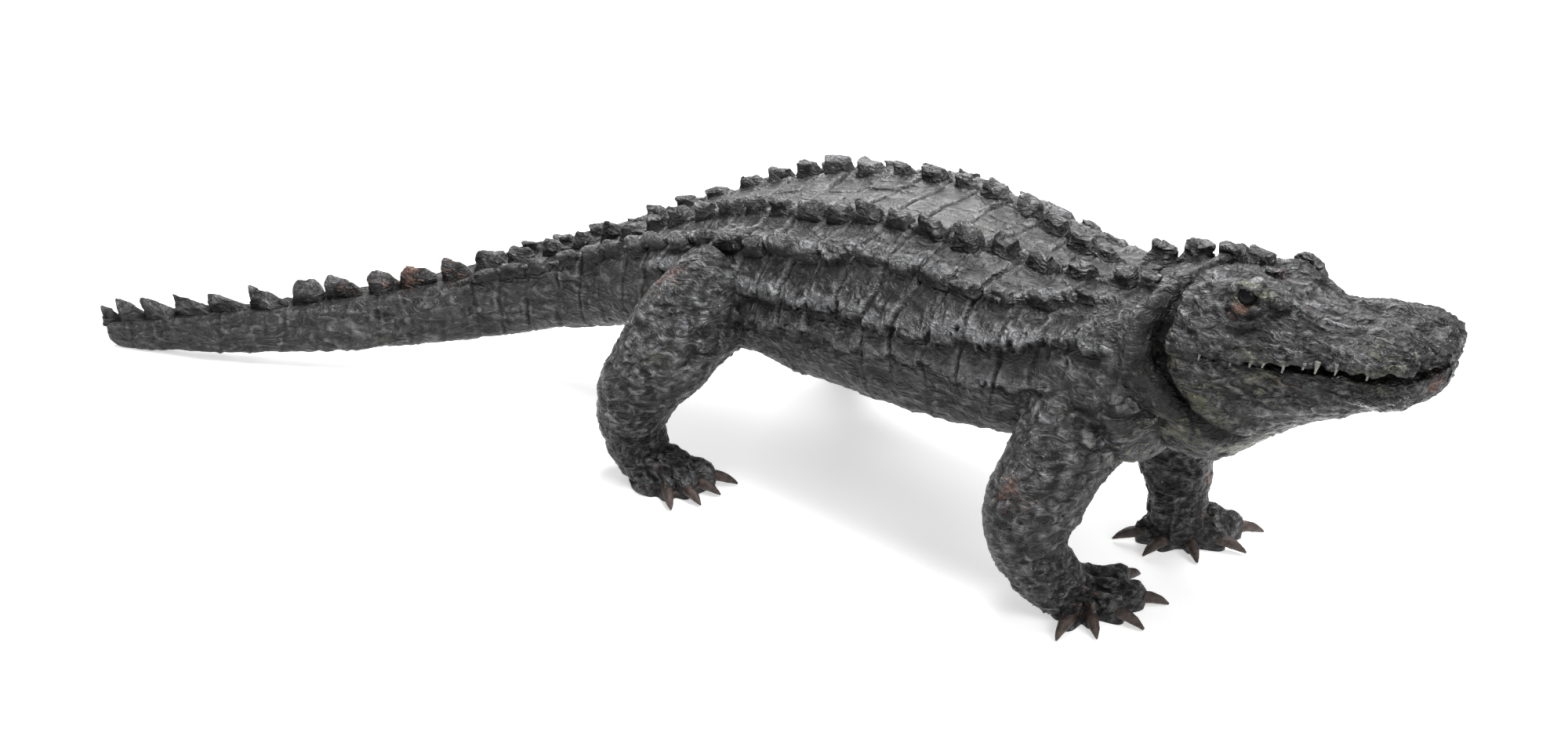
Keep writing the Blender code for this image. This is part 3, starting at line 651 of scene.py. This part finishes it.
head = {
    "skullAt": np.array([0.68, -0.075, 0.0]), "turn": np.radians(-7),
    # distance forwards, half width, top, mouth line, underside
    "stations": ((0, 0.06, 0.425, 0.366, 0.29), (0.03, 0.08, 0.44, 0.37, 0.252),
                 (0.06, 0.098, 0.45, 0.374, 0.224), (0.092, 0.113, 0.455, 0.384, 0.224),
                 (0.13, 0.122, 0.457, 0.396, 0.23), (0.175, 0.113, 0.452, 0.398, 0.27),
                 (0.22, 0.101, 0.446, 0.402, 0.304), (0.265, 0.091, 0.446, 0.409, 0.329),
                 (0.305, 0.085, 0.45, 0.415, 0.35), (0.338, 0.079, 0.451, 0.419, 0.364),
                 (0.36, 0.065, 0.447, 0.42, 0.373), (0.374, 0.042, 0.44, 0.42, 0.384)),
    "upperHalf": ((0, 0), (0.3, 0), (0.58, 0.03), (0.82, 0.18), (0.94, 0.42), (1, 0.7),
                  (1, 0.92), (0.94, 1), (0.8, 0.97), (0.4, 0.86), (0, 0.84)),
    "lowerHalf": ((0, 0.1), (0.4, 0.1), (0.76, 0.06), (0.9, 0), (0.97, 0.05), (0.98, 0.24),
                  (0.93, 0.5), (0.76, 0.8), (0.5, 0.96), (0.22, 1), (0, 1)),
    "mouthGap": ((0, 0.09, 0.15, 0.2, 0.27, 0.33, 0.374), (0, 0, 0.004, 0.006, 0.009, 0.013, 0.009)),
    "upperGrid": (300, 236), "lowerGrid": (220, 150),
    # distance, outwards, height, then the reach each way, how far it lifts and how far it pushes outwards
    "forms": (
        (0.16, 0.066, 0.455, 0.034, 0.021, 0.04, 0.024, 0), (0.192, 0.054, 0.455, 0.026, 0.018, 0.04, 0.011, 0),
        (0.115, 0.085, 0.45, 0.036, 0.026, 0.03, 0.01, 0.004), (0.205, 0.09, 0.435, 0.03, 0.02, 0.02, 0, -0.006),
        (0.168, 0.104, 0.445, 0.02, 0.016, 0.014, -0.004, -0.007),
        (0.14, 0.114, 0.418, 0.04, 0.02, 0.018, 0, 0.004),
        (0.332, 0.028, 0.452, 0.02, 0.015, 0.02, 0.008, 0), (0.346, 0.026, 0.458, 0.006, 0.006, 0.014, -0.007, 0),
        (0.352, 0, 0.45, 0.02, 0.012, 0.02, -0.003, 0), (0.285, 0.018, 0.45, 0.045, 0.02, 0.03, -0.004, 0),
        (0.085, 0.129, 0.372, 0.035, 0.03, 0.03, 0, 0.006), (0.31, 0.088, 0.425, 0.03, 0.03, 0.02, 0, 0.005),
        (0.265, 0.092, 0.425, 0.018, 0.03, 0.03, 0, -0.004), (0.235, 0.098, 0.415, 0.025, 0.03, 0.02, 0, 0.003),
    ),
    # folds: the line that each follows (distance, outwards, height), its half width and how far it stands out
    "folds": (
        (((0.188, 0.068, 0.466), (0.2, 0.056, 0.458), (0.215, 0.048, 0.45), (0.245, 0.043, 0.446),
          (0.275, 0.04, 0.446), (0.308, 0.038, 0.449)), 0.0065, 0.006),
        (((0.094, 0.102, 0.45), (0.103, 0.088, 0.462), (0.118, 0.072, 0.466), (0.136, 0.058, 0.466),
          (0.154, 0.042, 0.464), (0.176, 0.026, 0.458)), 0.006, 0.005),
        (((0.1, 0.108, 0.434), (0.135, 0.116, 0.424), (0.172, 0.114, 0.426), (0.205, 0.102, 0.438)), 0.005, 0.0032),
        (((0.1, 0.116, 0.424), (0.14, 0.121, 0.413), (0.185, 0.112, 0.414), (0.23, 0.1, 0.424)), 0.004, -0.003),
        (((0.11, 0.098, 0.452), (0.128, 0.1, 0.448), (0.145, 0.098, 0.456)), 0.0045, 0.0038),
        (((0.215, 0.096, 0.432), (0.255, 0.088, 0.436), (0.3, 0.082, 0.438), (0.33, 0.076, 0.436)), 0.007, 0.0028),
        (((0.175, 0, 0.46), (0.23, 0, 0.45), (0.3, 0, 0.45)), 0.007, 0.0022),
        (((0.1, 0.128, 0.38), (0.15, 0.118, 0.378), (0.2, 0.105, 0.382)), 0.008, 0.003),
        (((0.17, 0.098, 0.33), (0.22, 0.09, 0.345), (0.28, 0.08, 0.362)), 0.008, 0.0035),
    ),
    "farSink": 0.24, "farLift": 0.78,  # share of the lifts that the far side has
    # the deep crease behind the jaw: its line, half width, depth and the half width of the painted shade along it
    "crease": (((0.076, 0.06, 0.447), (0.078, 0.092, 0.438), (0.076, 0.106, 0.42), (0.073, 0.108, 0.4),
                (0.074, 0.112, 0.38), (0.084, 0.116, 0.355), (0.103, 0.118, 0.333), (0.126, 0.112, 0.314),
                (0.15, 0.1, 0.298), (0.172, 0.082, 0.288)), 0.0085, 0.011, 0.013),
}
headRows = np.array(head["stations"])
headAhead = np.array([np.cos(head["turn"]), np.sin(head["turn"]), 0.0])
headLeft = np.array([-headAhead[1], headAhead[0], 0.0])


# Point of the head from its distance forwards from the skull's back, its distance to the left and its height
def headPoint(forward, out, z):
    forward, out, z = np.broadcast_arrays(forward, out, z)
    return (head["skullAt"] + originShift + headAhead * forward[..., None] + headLeft * out[..., None]
            + np.array([0, 0, 1.0]) * z[..., None])


# Nearest distance from each point to a line through several places
def awayFromLine(point, places):
    places = np.array(places)
    nearest = np.full(point.shape[:-1], 9.0)
    for a, b in zip(places[:-1], places[1:]):
        t = np.clip(((point - a) @ (b - a)) / ((b - a) @ (b - a)), 0, 1)
        nearest = np.minimum(nearest, np.linalg.norm(point - a - t[..., None] * (b - a), axis=-1))
    return nearest


# Surface of one jaw: its section's shape stretched between two heights, rounded off at the snout and moved by
# the forms, then folds and crumpled roughness added along the normals
def makeJaw(name, half, grid, isUpper):
    rows, cols = grid
    t = np.linspace(0, 1, rows)
    f = 0.376 * np.sin(np.pi / 2 * t ** 0.9)
    ring = 2 * (len(half) - 1)
    fGrid, cGrid = np.meshgrid(f, ring * np.arange(cols) / cols, indexing="ij")
    wide, top, mouth, under = np.moveaxis(throughKnots(fGrid, headRows[:, 0], headRows[:, 1:]), -1, 0)
    gap = np.interp(fGrid, *head["mouthGap"])
    shape = sectionAt(half, cGrid)
    blunt = ease(fGrid, 0.345, 0.4) ** 1.4 * 1.02 + np.clip((fGrid - 0.362) / 0.0142, 0, 1) ** 2 * 0.75
    nose = np.maximum(1 - blunt, 0.01) ** 0.4
    wave = 0.0024 * np.sin(fGrid * 2 * np.pi / 0.026 + 0.8) * ease(fGrid, 0.09, 0.13)
    if isUpper:
        high, low, centre = top, mouth + wave, mouth + (top - mouth) * 0.25
    else:
        high, low, centre = mouth - gap + wave * 0.4, under, mouth - gap
    z = high + (low - high) * shape[..., 1]
    z = centre + (z - centre) * (0.25 + 0.75 * nose)
    out = shape[..., 0] * wide * nose
    if not isUpper:
        fGrid = fGrid - 0.004 * ease(fGrid, 0.25, 0.376)
    lift, push = np.zeros_like(out), np.zeros_like(out)
    for ff, oo, zz, rf, ro, rz, up, outward in head["forms"]:
        share = np.exp(-((fGrid - ff) / rf) ** 2 - ((np.abs(out) - oo) / ro) ** 2 - ((z - zz) / rz) ** 2)
        lift = lift + up * share * np.where(out > 0, head["farLift"], 1.0)
        push = push + outward * share
    sunk = head["farSink"] * np.maximum(out, 0) * ease(fGrid, 0.02, 0.08) * (1 - ease(fGrid, 0.2, 0.26))
    z, out = z + lift - sunk * ease(z, 0.4, 0.44), out + push * np.sign(out)
    plain = headPoint(fGrid, out, z)
    local = np.stack((fGrid, np.abs(out), z), -1)
    height = np.zeros_like(out)
    for places, width, amount in head["folds"]:
        height += amount * bell(awayFromLine(local, places) + 0.0016 * softNoise(plain, 0.016, 60), 0, width)
    line, width, depth, dark = head["crease"]
    toCrease = awayFromLine(local, line)
    height -= depth * bell(toCrease, 0, width)
    stretched = np.stack((fGrid * 0.5, out, z), -1)
    height += 0.0036 * roughNoise(plain, 0.05, 2, 61) * ease(fGrid, 0.0, 0.05)
    height += 0.002 * creased(stretched, 0.02, 3, 71, 0.8)
    height += 0.0012 * creased(plain, 0.01, 2, 76, 0.8)
    height += 0.0036 * (ridgeNoise(stretched, 0.012, 3, 81) - 0.4)
    shaped, relief = carve(plain, height)
    shaped[..., 2] = np.minimum(shaped[..., 2], 0.4855)
    # painted shade along the crease behind the jaw: the relief tone pushed dark there
    relief = relief - 2.4 * bell(toCrease, 0, dark)
    makePiece(name, [shaped], castMetal, [relief])


makeJaw("upperHead", head["upperHalf"], head["upperGrid"], True)
makeJaw("lowerJaw", head["lowerHalf"], head["lowerGrid"], False)


# Tube along a path: rings square to the path without twist, radius from the path's last column
def tubeGrid(path, rows, cols, ends=0.0):
    path = np.array(path, float)
    reach = np.concatenate(([0.0], np.cumsum(np.linalg.norm(np.diff(path[:, :3], axis=0), axis=1))))
    at = np.linspace(0, reach[-1], rows)
    line = throughKnots(at, reach, path)
    centre, radius = line[:, :3], line[:, 3]
    if ends:
        radius = radius * np.sqrt(np.maximum(1 - np.abs(at / reach[-1] * 2 - 1) ** (2 / ends), 0.01))
    tangent = unit(np.gradient(centre, axis=0))
    side = unit(np.cross(tangent[0], [0.13, 0.31, 0.94]))
    sides = []
    for t in tangent:
        side = unit(side - t * (side @ t))
        sides.append(side)
    sides = np.array(sides)
    over = np.cross(tangent, sides)
    angle = 2 * np.pi * np.arange(cols) / cols
    ringed = sides[:, None] * np.cos(angle)[None, :, None] + over[:, None] * np.sin(angle)[None, :, None]
    return centre[:, None] + ringed * radius[:, None, None]


eye = {
    "at": 0.168, "out": 0.088, "z": 0.4686, "radius": 0.0112, "farShift": (-0.013, -0.012, -0.018),
    # rolls of the lids: distance, outwards, height, radius
    "upperLid": ((0.145, 0.09, 0.461, 0.003), (0.149, 0.091, 0.471, 0.005), (0.158, 0.089, 0.479, 0.0058),
                 (0.169, 0.088, 0.48, 0.0056), (0.18, 0.086, 0.4765, 0.0052), (0.19, 0.08, 0.468, 0.0055),
                 (0.2, 0.07, 0.46, 0.0045), (0.212, 0.056, 0.45, 0.003)),
    "lowerLid": ((0.148, 0.094, 0.464, 0.0022), (0.155, 0.097, 0.457, 0.0038), (0.167, 0.099, 0.4545, 0.0042),
                 (0.179, 0.096, 0.456, 0.0038), (0.19, 0.089, 0.463, 0.0022)),
}
lids, balls = [], []
for side in (-1, 1):
    shift = np.array(eye["farShift"]) * (side > 0)
    for roll in (eye["upperLid"], eye["lowerLid"]):
        path = [(*headPoint(f + shift[0], side * (o + shift[1]), z + shift[2]), r) for f, o, z, r in roll]
        tube = tubeGrid(path, 60, 26, 0.6)
        lids.append(carve(tube, 0.0018 * roughNoise(tube, 0.01, 3, 91) + 0.0016 * creased(tube, 0.009, 2, 93)))
    rows = np.linspace(0.06, np.pi - 0.06, 22)[:, None]
    turn = 2 * np.pi * np.arange(32) / 32
    ball = np.stack((np.sin(rows) * np.cos(turn), np.sin(rows) * np.sin(turn), 0 * turn - np.cos(rows)), -1)
    centre = headPoint(eye["at"] + shift[0], side * (eye["out"] + shift[1]), eye["z"] + shift[2])
    balls.append(centre + ball * eye["radius"])
lumpPiece("eyelids", lids, grit=0.5)
makePiece("eyes", balls, eyeGloss)

# Fold of the neck skin that ends behind the jaw: a roll from one side over the top to the other
collar = {
    "path": ((0.066, 0, 0.444, 0.01), (0.066, 0.04, 0.443, 0.012), (0.061, 0.072, 0.435, 0.016),
             (0.053, 0.096, 0.42, 0.018), (0.047, 0.112, 0.401, 0.019), (0.047, 0.12, 0.381, 0.02),
             (0.055, 0.122, 0.358, 0.02), (0.073, 0.118, 0.336, 0.02), (0.096, 0.11, 0.317, 0.018),
             (0.118, 0.098, 0.301, 0.015), (0.14, 0.08, 0.286, 0.01), (0.158, 0.06, 0.278, 0.004)),
    "grid": (280, 40),
}
half = np.array(collar["path"])
loop = np.concatenate((half[:0:-1] * [1, -1, 1, 1], half))
path = np.concatenate((headPoint(*loop[:, :3].T), loop[:, 3:]), 1)
tube = tubeGrid(path, *collar["grid"])
roll = 0.005 * roughNoise(tube, 0.05, 3, 95) + 0.003 * creased(tube, 0.02, 3, 97)
roll += 0.0024 * (ridgeNoise(tube, 0.014, 2, 98) - 0.4)
shaped, relief = carve(tube, roll)
shadeFacingCrease = ease(gridNormals(tube) @ headAhead, 0.1, 0.8)  # how much the roll faces the crease behind the jaw, the mask of its painted shade
# painted shade: the roll's relief tone lowered all round, and much more where it faces the crease
relief = np.clip(relief - 0.5 - 2.0 * shadeFacingCrease, -2, 1)
makePiece("neckFold", [shaped], castMetal, [relief], [np.full(relief.shape, 0.7)])

neckScutes = {
    # distance, outwards, height of the foot, length, width, height
    "far": ((-0.022, 0.044, 0.424, 0.036, 0.03, 0.018), (0.024, 0.046, 0.434, 0.036, 0.03, 0.022),
            (0.066, 0.046, 0.44, 0.038, 0.03, 0.024), (0.106, 0.05, 0.442, 0.038, 0.032, 0.023),
            (0.138, 0.022, 0.446, 0.028, 0.024, 0.014)),
    "near": ((-0.022, -0.044, 0.424, 0.03, 0.024, 0.011), (0.022, -0.046, 0.434, 0.03, 0.024, 0.01),
             (0.062, -0.048, 0.444, 0.032, 0.024, 0.009), (0.1, -0.04, 0.452, 0.03, 0.024, 0.009),
             (0.136, -0.022, 0.452, 0.03, 0.026, 0.014), (0.16, -0.066, 0.468, 0.026, 0.02, 0.009)),
}
rowsOf = np.array(neckScutes["far"] + neckScutes["near"])
spot = headPoint(*rowsOf[:, :3].T)
up = unit([0, 0, 1] + headLeft * 0.25 * np.sign(rowsOf[:, 1:2]))
blocks, tones = makeLumps(spot, headAhead, up, rowsOf[:, 3:], 0.04, 0.84, 0.05, 2.8, (16, 32), 1.5, 30)
blocks[..., 2] = np.minimum(blocks[..., 2], 0.4855)
lumpPiece("neckScutes", [(blocks, tones)])

teeth = {"count": 12, "first": 0.112, "last": 0.322, "length": 0.0098, "radius": 0.0026}
stacks = []
for side in (-1, 1):
    f = np.linspace(teeth["first"], teeth["last"], teeth["count"]) + 0.003 * np.sin(np.arange(teeth["count"]) * 2.1)
    wide, _, mouth, _ = throughKnots(f, headRows[:, 0], headRows[:, 1:]).T
    root = headPoint(f, side * wide * 0.985, mouth + 0.005)
    length = teeth["length"] * (1 + 0.28 * np.sin(np.arange(len(f)) * 2.4))
    up = unit(headLeft * 0.12 * side - [0, 0, 1])
    thick = np.full(len(f), teeth["radius"] * 2)
    size = np.stack((thick, thick, length), -1)
    stacks.append(makeLumps(root, headAhead, up, size, 0.3, 0.42, 0.0, 2.0, (10, 12), 0.12))
makePiece("teeth", [m[0] for m in stacks], toothMetal)
print("head done")


# ---- legs and feet

legs = {
    "rightHind": ((0.06, -0.09, 0.265, 0.074), (0.034, -0.145, 0.232, 0.073), (0.012, -0.195, 0.184, 0.065),
                  (-0.016, -0.222, 0.128, 0.056), (-0.026, -0.222, 0.078, 0.05),
                  (-0.008, -0.222, 0.036, 0.046), (0.01, -0.222, 0.01, 0.04)),
    "leftHind": ((0.11, 0.11, 0.265, 0.074), (0.085, 0.16, 0.232, 0.073), (0.055, 0.212, 0.184, 0.065),
                 (0.026, 0.246, 0.128, 0.056), (0.018, 0.252, 0.078, 0.05),
                 (0.036, 0.256, 0.036, 0.046), (0.054, 0.258, 0.01, 0.04)),
    "rightFront": ((0.61, -0.105, 0.285, 0.072), (0.624, -0.162, 0.24, 0.072), (0.618, -0.214, 0.19, 0.062),
                   (0.607, -0.236, 0.138, 0.056), (0.614, -0.23, 0.086, 0.05),
                   (0.636, -0.208, 0.042, 0.046), (0.656, -0.19, 0.012, 0.038)),
    "leftFront": ((0.585, 0.03, 0.285, 0.072), (0.6, 0.075, 0.24, 0.066), (0.632, 0.08, 0.184, 0.056),
                  (0.664, 0.055, 0.132, 0.05), (0.678, 0.046, 0.084, 0.047),
                  (0.682, 0.04, 0.042, 0.046), (0.688, 0.042, 0.012, 0.042)),
}
feet = {
    "rightHind": ((0.022, -0.219), ((-44, 0.086), (-17, 0.092), (8, 0.093), (30, 0.106))),
    "leftHind": ((0.066, 0.256), ((42, 0.098), (20, 0.1), (-4, 0.094), (-30, 0.092))),
    "rightFront": ((0.664, -0.184), ((-85, 0.088), (-50, 0.073), (-2, 0.084), (40, 0.108), (80, 0.118))),
    "leftFront": ((0.692, 0.046), ((-147, 0.094), (-110, 0.074), (-48, 0.061), (10, 0.084), (46, 0.113))),
}
footShape = {
    "share": (0.0, 0.42, 0.6, 0.74, 0.86, 0.95, 1.0), "onToe": (0.07, 0.062, 0.045, 0.04, 0.032, 0.029, 0.014),
    "onWeb": (0.07, 0.06, 0.038, 0.026, 0.017, 0.012, 0.007), "back": (1.0, 1.0, 0.5, 0.2, 0.0, 0.0, 0.0),
    "ankle": ((0.01, 0.04, 0.09, 0.13), (0.78, 0.82, 0.88, 1)),
    "clawLength": 0.038, "clawRadius": 0.008, "heel": 0.046, "web": 0.74, "toeHalf": 12.5,
    "clawPath": ((1.16, 0.016, 1), (0.63, 0.0145, 0.94), (0.26, 0.0095, 0.64), (0, 0.004, 0.16)),
}


# Overlapping scales: each cell stands up towards its lower edge, with a thin dark line between two cells
def scaleRelief(point, size, seed):
    bent = point + size * 0.35 * drift(point, size * 1.5, seed + 21)
    near, next_, own = cellNoise(bent, size, seed)
    line = 1 - np.exp(-((next_ - near) / 0.16) ** 2)
    return (own - 0.5) * 0.7 * line + 0.5 * (1 - near ** 2) * line - 0.5 * (1 - line)


def makeLeg(name):
    path = np.array(legs[name])
    path[:, :3] += originShift
    path[:, 3] *= np.interp(path[:, 2], *footShape["ankle"])
    tube = tubeGrid(path, 124, 104)
    thigh = ease(tube[..., 2], 0.1, 0.22)
    height = 0.0019 * scaleRelief(tube, 0.024, 11) * thigh + 0.0013 * scaleRelief(tube, 0.018, 13) * (1 - thigh)
    height += 0.0012 * creased(tube, 0.018, 3, 17) + 0.0036 * roughNoise(tube, 0.06, 2, 12)
    height += 0.004 * (ridgeNoise(tube, 0.015, 3, 19) - 0.4) * (1.1 - 0.3 * thigh)
    height += 0.0006 * roughNoise(tube, 0.009, 2, 13)
    shaped, relief = carve(tube, height)
    shaped[..., 2] = np.maximum(shaped[..., 2], 0.001)
    palm, toes, shape = np.array(feet[name][0]), np.array(sorted(feet[name][1]), float), footShape
    cols = 188
    angle = np.linspace(-180, 180, cols, endpoint=False) + toes[:, 0].mean()
    toeLength = toes[:, 1] - shape["clawLength"] + 0.01
    web = toesWeb(toes)
    lobe = np.exp(-np.abs((angle - toes[:, :1]) / shape["toeHalf"]) ** 2.6)
    beyond = toeLength - np.interp(toes[:, 0], *web)
    reach = np.interp(angle, *web) + (beyond[:, None] * lobe).sum(0)
    onToe = np.clip(lobe.sum(0), 0, 1)
    share = np.concatenate((np.linspace(0.05, 0.96, 8), np.linspace(1.0, 0.05, 46)))[:, None]
    isTop = np.arange(len(share))[:, None] >= 8
    overToe, overWeb, back = (np.interp(share, shape["share"], shape[k]) for k in ("onToe", "onWeb", "back"))
    knuckles = 0.0045 * (bell(share, 0.84, 0.06) + bell(share, 0.6, 0.07)) * onToe
    z = np.where(isTop, (1 - onToe) * overWeb + onToe * overToe + knuckles, 0.0)
    wrist = np.array(legs[name])[4, :2]
    centre = palm + (wrist - palm) * back * isTop
    heading = np.stack((np.cos(np.radians(angle)), np.sin(np.radians(angle))), -1)
    flat = centre[:, None] + heading * (reach * share)[..., None]
    foot = np.concatenate((flat, z[..., None]), -1) + originShift
    bump = 0.0028 * roughNoise(foot, 0.026, 3, 14) + 0.0012 * scaleRelief(foot, 0.014, 15)
    bump += 0.0014 * creased(foot, 0.018, 2, 18) + 0.003 * (ridgeNoise(foot, 0.014, 3, 20) - 0.4)
    shapedFoot, footRelief = carve(foot, np.where(isTop, bump, 0.0))
    shapedFoot[..., 2] = np.maximum(shapedFoot[..., 2], 0.0)
    makePiece(name + "Leg", [shaped, shapedFoot], castMetal, [relief, footRelief])
    claws = []
    for turn, length in toes:
        way = np.array([np.cos(np.radians(turn)), np.sin(np.radians(turn))])
        path = []
        for behind, level, thick in shape["clawPath"]:
            flat = palm + way * (length - shape["clawLength"] * behind)
            path.append((*(flat + originShift[:2]), level, shape["clawRadius"] * thick))
        claw = tubeGrid(path, 22, 18)
        bump = 0.0005 * roughNoise(claw, 0.008, 2, 16)
        claw = claw + gridNormals(claw) * bump[..., None]
        claw[..., 2] = np.maximum(claw[..., 2], 0.0)
        claws.append(claw)
    return claws


# Length of the web between toes and of the heel, by angle
def toesWeb(toes):
    heel, web = footShape["heel"], (toes[:, 1] - footShape["clawLength"]) * footShape["web"]
    return [toes[0, 0] - 30, *toes[:, 0], toes[-1, 0] + 30], [heel, *web, heel]


claws = []
for name in legs:
    claws += makeLeg(name)
makePiece("claws", claws, clawMetal)
print("legs done")


# ---- floor, light and camera

studio = {
    "floor": (0.8, 0.8, 0.8, 1), "white": (1, 1, 1, 1), "floorGlow": 0.5, "world": 0.4,
    # place, size, power and what it points at
    "lights": (((0.4, 0.3, 3), 1.6, 165, (0.1, 0, 0)), ((2.6, -0.8, 2), 1.4, 46, (0.6, 0, 0.3)),
               ((-1.5, 2.1, 2.1), 2.2, 95, (0, 0, 0.2))),
    "camera": (1.6057, -2.2032, 1.365), "cameraTurn": (65.0, 0.0, 35.0), "lens": 47.52,
}
side = 14.0
floorMesh = bpy.data.meshes.new("floor")
floorMesh.from_pydata([(-side, -side, 0), (side, -side, 0), (side, side, 0), (-side, side, 0)], [], [(0, 1, 2, 3)])
floorPaint, floorShader, _ = newFinish("floorPaint")
floorLook = {"Base Color": studio["floor"], "Roughness": 0.9, "Emission Color": studio["white"],
             "Emission Strength": studio["floorGlow"]}
for socket, value in floorLook.items():
    floorShader.inputs[socket].default_value = value
floorMesh.materials.append(floorPaint)
added("floor", floorMesh)

world = bpy.data.worlds.new("studio")
scene.world = world
world.use_nodes = True
sky = world.node_tree.nodes["Background"].inputs
sky["Color"].default_value, sky["Strength"].default_value = studio["white"], studio["world"]

for number, (place, size, power, target) in enumerate(studio["lights"]):
    lamp = bpy.data.lights.new(f"softbox{number}", "AREA")
    lamp.size, lamp.energy = size, power
    light = added(lamp.name, lamp)
    x, y, z = np.subtract(target, place)
    light.location, light.rotation_euler = place, (np.arctan2(np.hypot(x, y), -z), 0, np.arctan2(y, x) - np.pi / 2)

lens = bpy.data.cameras.new("camera")
lens.lens, lens.sensor_width, lens.sensor_fit = studio["lens"], 36.0, "HORIZONTAL"
camera = scene.camera = added("camera", lens)
camera.location, camera.rotation_euler = studio["camera"], np.radians(studio["cameraTurn"])
scene.view_settings.view_transform = "Standard"
